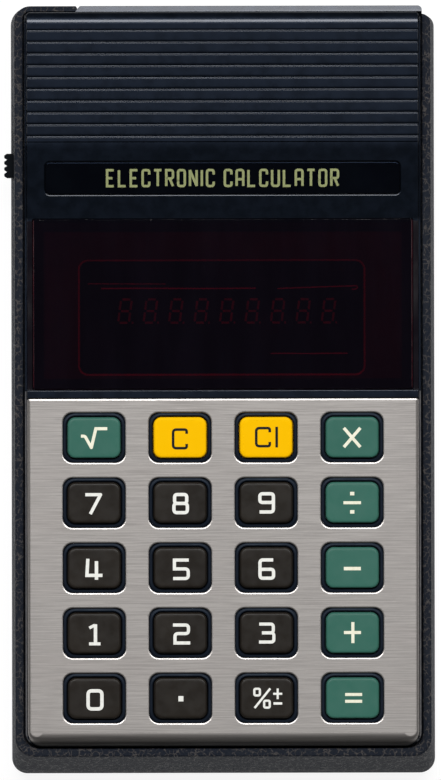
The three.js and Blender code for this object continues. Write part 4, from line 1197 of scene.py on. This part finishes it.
def display_segments():
    """Nine slanted seven-segment characters with their points, thin plates on the glass."""
    z0, z1 = PANEL_HIGH[2] - 0.05, PANEL_HIGH[2] + 0.04
    w, h, gap = DIGIT_WIDTH / 2, DIGIT_HEIGHT / 2, 0.28
    bars = [((-w + gap, h), (w - gap, h)), ((-w + gap, 0), (w - gap, 0)), ((-w + gap, -h), (w - gap, -h))]
    for side in (-w, w):
        bars += [((side, gap), (side, h - gap)), ((side, -h + gap), (side, -gap))]
    shapes = []
    for digit in range(DIGIT_COUNT):
        x = (digit - (DIGIT_COUNT - 1) / 2) * DIGIT_PITCH + DIGIT_SHIFT
        for a, b in bars + [((w + 0.55, -h), (w + 0.85, -h))]:
            ends = [(x + px + SLANT * py, DIGIT_Y + py) for px, py in (a, b)]
            shapes.append(stroke(ends, 0.4, z0, z1))
    segments = make("display_segments", merged(shapes))
    return finish_piece(segments, M["segment"], "case", angle=30)


def display_filaments():
    """Fine support wires over the characters."""
    z = PANEL_HIGH[2] + 0.16
    low = [(9.0 + t * 14.5, 6.8 + 0.02 * math.sin(t * 9), z) for t in np.linspace(0, 1, 12)]
    far = [(-25.5 + t * 14.7, 20.0 - 0.06 * t, z) for t in np.linspace(0, 1, 8)]
    left = [(-22.9 + t * 29.1, 19.1 + 0.03 * math.sin(t * 7), z) for t in np.linspace(0, 1, 16)]
    right = [(10.3 + t * 14.6, 19.05 + 0.5 * t, z) for t in np.linspace(0, 1, 12)]
    right += [(25.3, 19.5, z), (25.45, 19.2, z), (25.1, 18.95, z), (24.3, 18.85, z)]
    wires = ((low, 0.12), (far, 0.08), (left, 0.14), (right, 0.12))
    shapes = [tube(path, radius, 8) for path, radius in wires]
    filaments = make("display_filaments", merged(shapes))
    return finish_piece(filaments, M["filament"], "case", weighted=False)


# ------ rear shell

SOCKET_X, SOCKET_Z, SOCKET_HOLE = -34.0, 11.0, 2.9
KNOB_Y, KNOB_Z, KNOB_TRAVEL = 42.3, 14.0, 4.0
KNOB_LENGTH, KNOB_HEIGHT = 4.6, 4.4
COUNTERBORE_RADIUS, COUNTERBORE_DEPTH = 2.8, 3.0
BAY_HALF, BAY_LOW, BAY_HIGH, BAY_CEILING, BAY_WALL = 30.2, 38.8, 68.6, 17.4, 1.2
COVER_HALF, COVER_TONGUE = 29.3, 1.1
CASE_POST_TOP, CASE_POST_RADIUS, CASE_BORE_RADIUS = 9.0, 3.4, 1.5
BOARD_POST_TOP, BOARD_POST_RADIUS, BOARD_BORE_RADIUS = 7.95, 2.6, 1.3
RIB_INNER_X, RIB_OUTER_X, RIB_PLACES, RIB_HALF, RIB_TOP = 34.9, 37.6, (-52, -30, -8), 0.7, 16.35
FOOT_SEAT_RADIUS, FOOT_SEAT_Z = 4.15, 1.25
JACK_Y, JACK_BORE_Y = 65.0, 58.0
CLEAR_X = 45  # lies outside the case
ALONG_Y = Matrix.Rotation(-math.pi / 2, 4, "X")  # turns a shape drawn round Z to run along +Y


def rear_levels(end_y, head_corner=3.4):
    """Rings of the rear shell's outer skin, from the back to the rim."""
    bottom = CASE_LOW[1]

    def level(z, side, foot, head, radius, low_radius=FOOT_CORNER):
        half = HALF_CASE - side
        return ring_at(round_rect(-half, half, bottom + foot, end_y - head, low_radius, radius, 10), z)

    def drafted(z, extra):
        share = (z - WIDEST_Z) / (RIM_Z - WIDEST_Z)
        side, foot = 0.8 * share + extra, 3.4 * share + extra
        return level(z, side, foot, extra, head_corner - 0.4 * share, FOOT_CORNER + 0.6 * share)

    rings = []
    for rise, inset in rounding(BACK_EDGE, BACK_EDGE, range(0, 91, 10)):
        rings.append(level(BACK_Z + rise, inset, inset, inset, head_corner))
    rings.append(level(WIDEST_Z, 0, 0, 0, head_corner))
    rings += [drafted(z, 0) for z in (9.0, 12.0, 15.0, 18.0)]
    for inset, drop in rounding(RIM_EDGE, RIM_EDGE, (0, 22, 45, 67, 90)):
        rings.append(drafted(RIM_Z - drop, inset))
    return rings


def tab_shape():
    """Raised tab at the left of the display end, its inner end slanted."""
    tab = make("tab", loft(rear_levels(TAB_TOP_Y)))
    x, y = TAB_RIGHT_X, TAB_TOP_Y
    plan = [(-CLEAR_X, 55), (x, 55), (x, y - 1.0), (x + 0.35, y - 0.4), (x + 0.3, y - 0.22)]
    plan += [(x - 0.4, y + 0.5), (-CLEAR_X, y + 0.5)]
    combine(tab, [loft([ring_at(plan, 0), ring_at(plan, RIM_Z + 1)])], "INTERSECT")
    return shape_of(tab)


def seat_ring(grow, z):
    """Outline of the opening that the front shell stands in, grown all round."""
    half = HALF_FRONT + SEAT_GAP + grow
    low, high = FRONT_BOTTOM_Y - 0.4 - grow, FRONT_TOP_Y + 0.15 + grow * 0.2
    return ring_at(round_rect(-half, half, low, high, 3.0 + grow, 1.3), z)


def knob_pocket():
    """Cutter for the pocket in the left wall in which the switch knob slides."""
    reach = KNOB_LENGTH / 2 + 0.4
    low, high = KNOB_Y - reach, KNOB_Y + reach + KNOB_TRAVEL
    half, radius = KNOB_HEIGHT / 2 + 0.3, 0.5
    corners = [(low, KNOB_Z - half), (high, KNOB_Z - half), (high, KNOB_Z + half), (low, KNOB_Z + half)]
    rows = np.array(bent(corners, radius, True))
    away = np.sign(rows - np.array(((low + high) / 2, KNOB_Z)))
    rings = []
    for grow, x in ((0.35, -CLEAR_X), (0.35, -HALF_CASE - 0.1), (0.0, -HALF_CASE + 0.75), (0.0, -39.0)):
        rings.append(np.array([(x, y, z) for y, z in rows + away * grow]))
    return flipped(loft(rings))


def rear_shell():
    shell = make("rear_shell", loft(rear_levels(CASE_TOP_Y, 2.1)))
    join(shell, tab_shape())
    # Inside, then the seat that the front shell stands on, its upper lip rounded.
    floor = ring_at(round_rect(-36.2, 36.2, -68.3, BAY_HIGH, 2.0), FLOOR_Z)
    mouth = ring_at(round_rect(-37.2, 37.2, -67.2, BAY_HIGH, 2.0), RIM_Z + 1)
    cut(shell, loft([floor, mouth]))
    levels = [(0, SEAT_Z), (0, RIM_Z - 0.22), (0.06, RIM_Z - 0.08), (0.16, RIM_Z - 0.015)]
    levels += [(0.26, RIM_Z + 0.05), (0.26, RIM_Z + 1)]
    cut(shell, loft([seat_ring(grow, z) for grow, z in levels]))
    end = TAB_TOP_Y - 1.03
    cut(shell, block(TAB_RIGHT_X + 0.02, HALF_FRONT + SEAT_GAP, 60, end, SEAT_Z, RIM_Z + 1))
    # Battery bay, the cover's slot and the gap that the leads pass through.
    bay = BAY_HALF + BAY_WALL
    join(shell, block(-bay, bay, BAY_LOW - BAY_WALL, BAY_HIGH + 0.5, BACK_Z + 1, BAY_CEILING + 1))
    cut(shell, block(-BAY_HALF, BAY_HALF, BAY_LOW, BAY_HIGH, FLOOR_Z - 0.3, BAY_CEILING))
    cut(shell, cover_slot())
    cut(shell, block(27.8, BAY_HALF - 0.1, BAY_LOW + 3, BAY_HIGH - 3, BAY_CEILING - 1, BAY_CEILING + 2))
    # Posts for the case screws and the board screws, with their bores.
    screws = [centre_of(f"case_screw_{i + 1}") for i in range(4)]
    board_screws = [centre_of(f"board_screw_{i + 1}") for i in range(2)]
    posts = [post(s, FLOOR_Z - 0.5, CASE_POST_TOP, CASE_POST_RADIUS) for s in screws]
    posts += [post(s, FLOOR_Z - 0.5, BOARD_POST_TOP, BOARD_POST_RADIUS) for s in board_screws]
    join(shell, *posts)
    wide, deep = COUNTERBORE_RADIUS, BACK_Z + COUNTERBORE_DEPTH
    rows = [(wide + 0.3, BACK_Z - 0.6), (wide + 0.3, BACK_Z - 0.05), (wide + 0.08, BACK_Z + 0.12)]
    rows += [(wide, BACK_Z + 0.3), (wide, deep), (CASE_BORE_RADIUS, deep), (CASE_BORE_RADIUS, 10)]
    bores = [moved(lathe(rows), s) for s in screws]
    bores += [post(s, FLOOR_Z + 1, 9, BOARD_BORE_RADIUS) for s in board_screws]
    cut(shell, *bores)
    # Ribs along the side walls.
    ribs = []
    for side in (-1, 1):
        for y in RIB_PLACES:
            a, b = sorted((side * RIB_INNER_X, side * RIB_OUTER_X))
            ribs.append(block(a, b, y - RIB_HALF, y + RIB_HALF, FLOOR_Z - 0.5, RIB_TOP))
    join(shell, *ribs)
    # Shallow seats for the feet.
    radius = FOOT_SEAT_RADIUS
    rows = [(radius + 0.25, BACK_Z - 0.5), (radius + 0.25, BACK_Z), (radius, BACK_Z + 0.2)]
    rows.append((radius, FOOT_SEAT_Z))
    cut(shell, *[moved(lathe(rows), centre_of(f"rubber_foot_{i + 1}")) for i in range(4)])
    # Switch pocket with the slot for the knob's stem, and the adapter socket's hole.
    cut(shell, knob_pocket())
    slot_end = KNOB_Y + KNOB_TRAVEL + 1.4
    cut(shell, block(-CLEAR_X, -34.0, KNOB_Y - 1.4, slot_end, KNOB_Z - 1.3, KNOB_Z + 1.3))
    wide = SOCKET_HOLE + 0.35
    hole = lathe([(SOCKET_HOLE, 0), (SOCKET_HOLE, 7.2), (wide, 7.6), (wide, 9)])
    cut(shell, placed(hole, ALONG_Y, (SOCKET_X, JACK_Y - 0.2, SOCKET_Z)))
    return finish_piece(shell, M["rear"], "case", ["lower_case"], angle=34)


def cover_slot():
    """Cutter for the battery cover's opening and the grooves that its tongues run in."""
    plate, groove = COVER_HALF + 0.2, COVER_HALF + COVER_TONGUE + 0.2
    groove_z, top = COVER_HIGH[2] - 0.9, COVER_HIGH[2] + 0.1
    right = [(plate + 0.25, 0), (plate + 0.25, BACK_Z - 0.01), (plate, BACK_Z + 0.25)]
    right += [(plate, groove_z), (groove, groove_z), (groove, top)]
    return bar_y(mirrored(right), COVER_LOW[1] - 0.1, TAB_TOP_Y + 2)


def slide_cover():
    half, tongue, tongue_z, top = COVER_HALF, COVER_HALF + COVER_TONGUE, COVER_HIGH[2] - 0.7, COVER_HIGH[2]
    right = [(half - 0.22, BACK_Z), (half - 0.06, BACK_Z + 0.07), (half, BACK_Z + 0.24)]
    right += [(half, tongue_z), (tongue, tongue_z), (tongue, top)]
    cover = make("slide_cover", bar_y(mirrored(right), COVER_LOW[1], TAB_TOP_Y))
    combine(cover, [loft(rear_levels(CASE_TOP_Y))], "INTERSECT")
    low, high = BACK_Z - 0.2, BACK_Z + 0.2
    grooves = []
    for i in range(7):  # finger grip
        y = COVER_LOW[1] + 4.2 + i * 1.5
        reach = 9.5 - 0.5 * abs(i - 3)
        bevel = [(y + 0.5, low), (y + 0.28, high), (y - 0.28, high), (y - 0.5, low)]
        grooves.append(bar_x(bevel, -reach, reach))
    cut(cover, *grooves)
    arrow = [(-2.6, 52.0), (0.0, 54.8), (2.6, 52.0)]
    cut(cover, stroke(arrow, 0.7, BACK_Z - 0.3, BACK_Z + 0.25))
    return finish_piece(cover, M["rear"], "battery_cover", ["battery_cover"], angle=34)


def slide_knob():
    """Switch knob with four serrations and a stem into the case."""
    pitch, half = KNOB_LENGTH / 4, KNOB_LENGTH / 2
    outer, root, pad = KNOB_OUTER_X, KNOB_OUTER_X + 0.5, -39.1

    def outline(inset):
        points = [(pad, KNOB_Y + half - inset), (root, KNOB_Y + half - inset)]
        crest_x, root_x = outer + inset, root + inset * 0.4
        for i in range(4, 0, -1):
            high = KNOB_Y - half + i * pitch
            crest_high, crest_low = high - 0.30 * pitch, high - 0.70 * pitch
            points += [(crest_x + 0.05, crest_high + 0.04), (crest_x, crest_high - 0.06)]
            points += [(crest_x, crest_low + 0.06), (crest_x + 0.05, crest_low - 0.04)]
            if i > 1:
                points += [(root_x, high - pitch + 0.03), (root_x, high - pitch - 0.03)]
        points += [(root, KNOB_Y - half + inset), (pad, KNOB_Y - half + inset)]
        return points

    edge, low, high = 0.22, KNOB_Z - KNOB_HEIGHT / 2, KNOB_Z + KNOB_HEIGHT / 2
    knob = make("slide_knob", soft_block(outline, low, high, edge, edge))
    join(knob, block(pad - 0.3, -36.3, KNOB_Y - 1.1, KNOB_Y + 1.1, KNOB_Z - 1.1, KNOB_Z + 1.1))
    return finish_piece(knob, M["black_plastic"], "switch_knob", ["switch_knob"], angle=40)


def cross_screw(i):
    low, high = cad_box(f"case_screw_{i}")
    spot, z = (low + high) / 2, low[2]
    profile = [(0, z), (1.0, z), (1.7, z + 0.15), (2.2, z + 0.5), (2.45, z + 0.95), (2.5, z + 1.4)]
    profile += [(2.5, z + 2.0), (1.2, z + 2.0), (1.2, high[2] - 1.2), (0, high[2])]
    screw = make(f"cross_screw_{i}", moved(lathe(profile), spot))
    turn = Matrix.Rotation(math.radians(RNG.uniform(0, 90)), 4, "Z")
    long_half, short_half = 1.25, 0.28
    for x, y in ((long_half, short_half), (short_half, long_half)):
        mouth = [(x, -y), (x, y), (-x, y), (-x, -y)]
        tip = [(a * 0.45, b * 0.6) for a, b in mouth]
        slot_shape = loft([ring_at(mouth, z - 0.2), ring_at(mouth, z + 0.2), ring_at(tip, z + 1.3)])
        cut(screw, moved(slot_shape, spot, turn))
    return finish_piece(screw, M["steel"], "case", [f"case_screw_{i}"])


def foot_pad(i):
    low, high = cad_box(f"rubber_foot_{i}")
    spot, radius, top = (low + high) / 2, (high[0] - low[0]) / 2, high[2]
    profile = [(0, 0.12), (radius - 1.3, 0.1), (radius - 1.0, 0.0), (radius - 0.5, 0.0)]
    profile += [(radius - inset, rise) for rise, inset in rounding(0.45, 0.45, (20, 45, 70, 90))]
    profile += [(radius, top), (0, top)]
    pad = make(f"foot_pad_{i}", moved(lathe(profile), spot))
    return finish_piece(pad, M["rubber"], "case", [f"rubber_foot_{i}"])


def cell(node, name):
    """Battery cell lying along X: wrapped body, bare ends, crimped shoulder and button."""
    low, high = cad_box(node)
    middle = (low + high) / 2
    radius, half = (high[2] - low[2]) / 2, (high[0] - low[0]) / 2
    body, end = half - 1.0, -half
    profile = [(0, end), (radius - 1.6, end), (radius - 1.4, end + 0.15), (radius - 0.8, end + 0.15)]
    profile += [(radius - 0.45, end + 0.1), (radius - 0.1, end + 0.35), (radius, end + 0.7)]
    profile += [(radius, body - 0.9), (radius - 0.1, body - 0.45), (radius - 0.4, body - 0.2)]
    profile += [(radius - 0.8, body - 0.1), (radius - 1.2, body - 0.35), (3.2, body - 0.35), (2.9, body)]
    profile += [(2.75, body + 0.1), (2.7, half - 0.25), (2.45, half), (0, half)]
    sign = 1 if node == "battery_lower" else -1
    turn = Matrix.Rotation(sign * math.pi / 2, 4, "Y")
    obj = make(name, placed(lathe(profile, 48), turn, middle))
    finish_piece(obj, [M["jacket"], M["jacket_dark"], M["tin"]], "case", [node])

    def wrap(centre, _):
        along = (centre.x - middle[0]) * sign
        out = math.hypot(centre.y - middle[1], centre.z - middle[2])
        if out < radius - 0.5 or abs(along) > half - 0.4:
            return 2
        return 1 if along < half * 0.2 else 0

    paint(obj, wrap)
    return obj


def socket_piece():
    end_y = cad_box("adapter_socket")[1][1]
    radius, length = SOCKET_HOLE - 0.15, end_y - JACK_Y
    profile = [(0, -0.5), (radius, -0.5), (radius, length - 0.3), (radius - 0.25, length), (0, length)]
    socket = make("adapter_jack", placed(lathe(profile), ALONG_Y, (SOCKET_X, JACK_Y, SOCKET_Z)))
    join(socket, block(SOCKET_X - 2.4, SOCKET_X + 2.4, 55.0, 65.8, SOCKET_Z - 3.8, SOCKET_Z + 3.8))
    bore = lathe([(1.8, 0), (1.8, end_y - 58.4), (2.1, end_y - 57.9), (2.1, 16)])
    cut(socket, placed(bore, ALONG_Y, (SOCKET_X, JACK_BORE_Y, SOCKET_Z)))
    return finish_piece(socket, M["black_plastic"], "case", ["adapter_socket"])


# ------ build everything

front_shell()
brushed_plate()
for key_node in KEY_NODES:
    key_cap(key_node)
    key_legend(key_node)
name_strip()
strip_lettering()
window_lens()
window_mask()
display_glass()
display_segments()
display_filaments()
rear_shell()
slide_cover()
slide_knob()
for number in range(1, 5):
    cross_screw(number)
    foot_pad(number)
cell("battery_upper", "cell_upper")
cell("battery_lower", "cell_lower")
socket_piece()

# CAD nodes inside the case that are drawn as they are, by look.
KEPT_NODES = {
    "phenolic": ["keyboard_board"],
    "film": ["key_dome_sheet"],
    "black_plastic": ["display_holder"],
    "fibre": ["logic_board"],
    "chip": ["calculator_chip", "display_driver_chip"],
    "ferrite": ["converter_coil"],
    "sleeve": ["filter_capacitor"],
    "ceramic": ["resistor_network"],
    "cable": ["ribbon_cable"],
    "steel": ["board_screw_1", "board_screw_2", "switch_body"],
    "plated": ["contact_" + n for n in ("spring_left", "spring_right", "link_plate")]
    + ["contact_terminal_positive", "contact_terminal_negative"],
    "red_wire": ["wire_red"],
    "black_wire": ["wire_black"],
}
for look_name, node_names in KEPT_NODES.items():
    for node_name in node_names:
        node = frame["nodes"][node_name]
        node.data.materials.clear()
        node.data.materials.append(M[look_name])

# ------ floor, lights and camera


FLOOR_HALF, GROUND_Z, FLOOR_GLOW = 1500, -0.02, 0.9
LAMP_PLACE, LAMP_WIDTH, LAMP_DEPTH, LAMP_WATTS = (0, 0.76, 1.85), 2.2, 0.5, 47.0  # in metres


def stage_floor():
    """Pale glowing sheet just under the feet, as a scanner's white lid."""
    half = FLOOR_HALF
    corners = [(x, y, GROUND_Z) for x, y in ((-half, -half), (half, -half), (half, half), (-half, half))]
    floor = make("floor", (corners, [(0, 1, 2, 3)]))
    look = Look("pale_floor", (0.17, 0.17, 0.17, 1.0), 0.9, Specular_IOR_Level=0.0)
    look.blend(look.noise(60.0, 3), 0.3, 0.7, 0.5, (0.155, 0.155, 0.155, 1.0))
    look.shader.inputs["Emission Color"].default_value = (1, 1, 1, 1)
    look.shader.inputs["Emission Strength"].default_value = FLOOR_GLOW
    floor.data.materials.append(look.material)


def area_light(name, place, width, depth, watts):
    """Rectangular lamp that looks at the frame's origin."""
    data = bpy.data.lights.new(name, "AREA")
    data.shape, data.size, data.size_y = "RECTANGLE", width, depth
    data.energy = watts
    lamp = bpy.data.objects.new(name, data)
    bpy.context.scene.collection.objects.link(lamp)
    lamp.location = place
    lamp.rotation_mode = "QUATERNION"
    lamp.rotation_quaternion = (-Vector(place)).to_track_quat("-Z", "Y")


stage_floor()
area_light("key_light", LAMP_PLACE, LAMP_WIDTH, LAMP_DEPTH, LAMP_WATTS)

world = bpy.data.worlds.new("studio")
world.use_nodes = True
world.node_tree.nodes["Background"].inputs["Color"].default_value = (1.0, 1.0, 1.0, 1.0)
world.node_tree.nodes["Background"].inputs["Strength"].default_value = 0.05
bpy.context.scene.world = world
bpy.context.scene.view_settings.view_transform = "Standard"

LENS_MM, SENSOR_MM = 900.0, 36.0
FRAME_LENGTH = 146.9  # how much of the object's length the picture's long side spans, in millimetres
CAMERA_X, CAMERA_Y, CAMERA_ROLL = -0.46, -0.06, -0.11  # millimetres and degrees
camera_data = bpy.data.cameras.new("camera")
camera_data.lens, camera_data.sensor_width = LENS_MM, SENSOR_MM
camera_data.clip_start, camera_data.clip_end = 0.01, 20.0
camera = bpy.data.objects.new("camera", camera_data)
bpy.context.scene.collection.objects.link(camera)
distance = FRAME_LENGTH * LENS_MM / SENSOR_MM
camera.location = (CAMERA_X * MM, CAMERA_Y * MM, (FACE_Z + distance) * MM)
camera.rotation_euler = (0, 0, math.radians(CAMERA_ROLL))
bpy.context.scene.camera = camera
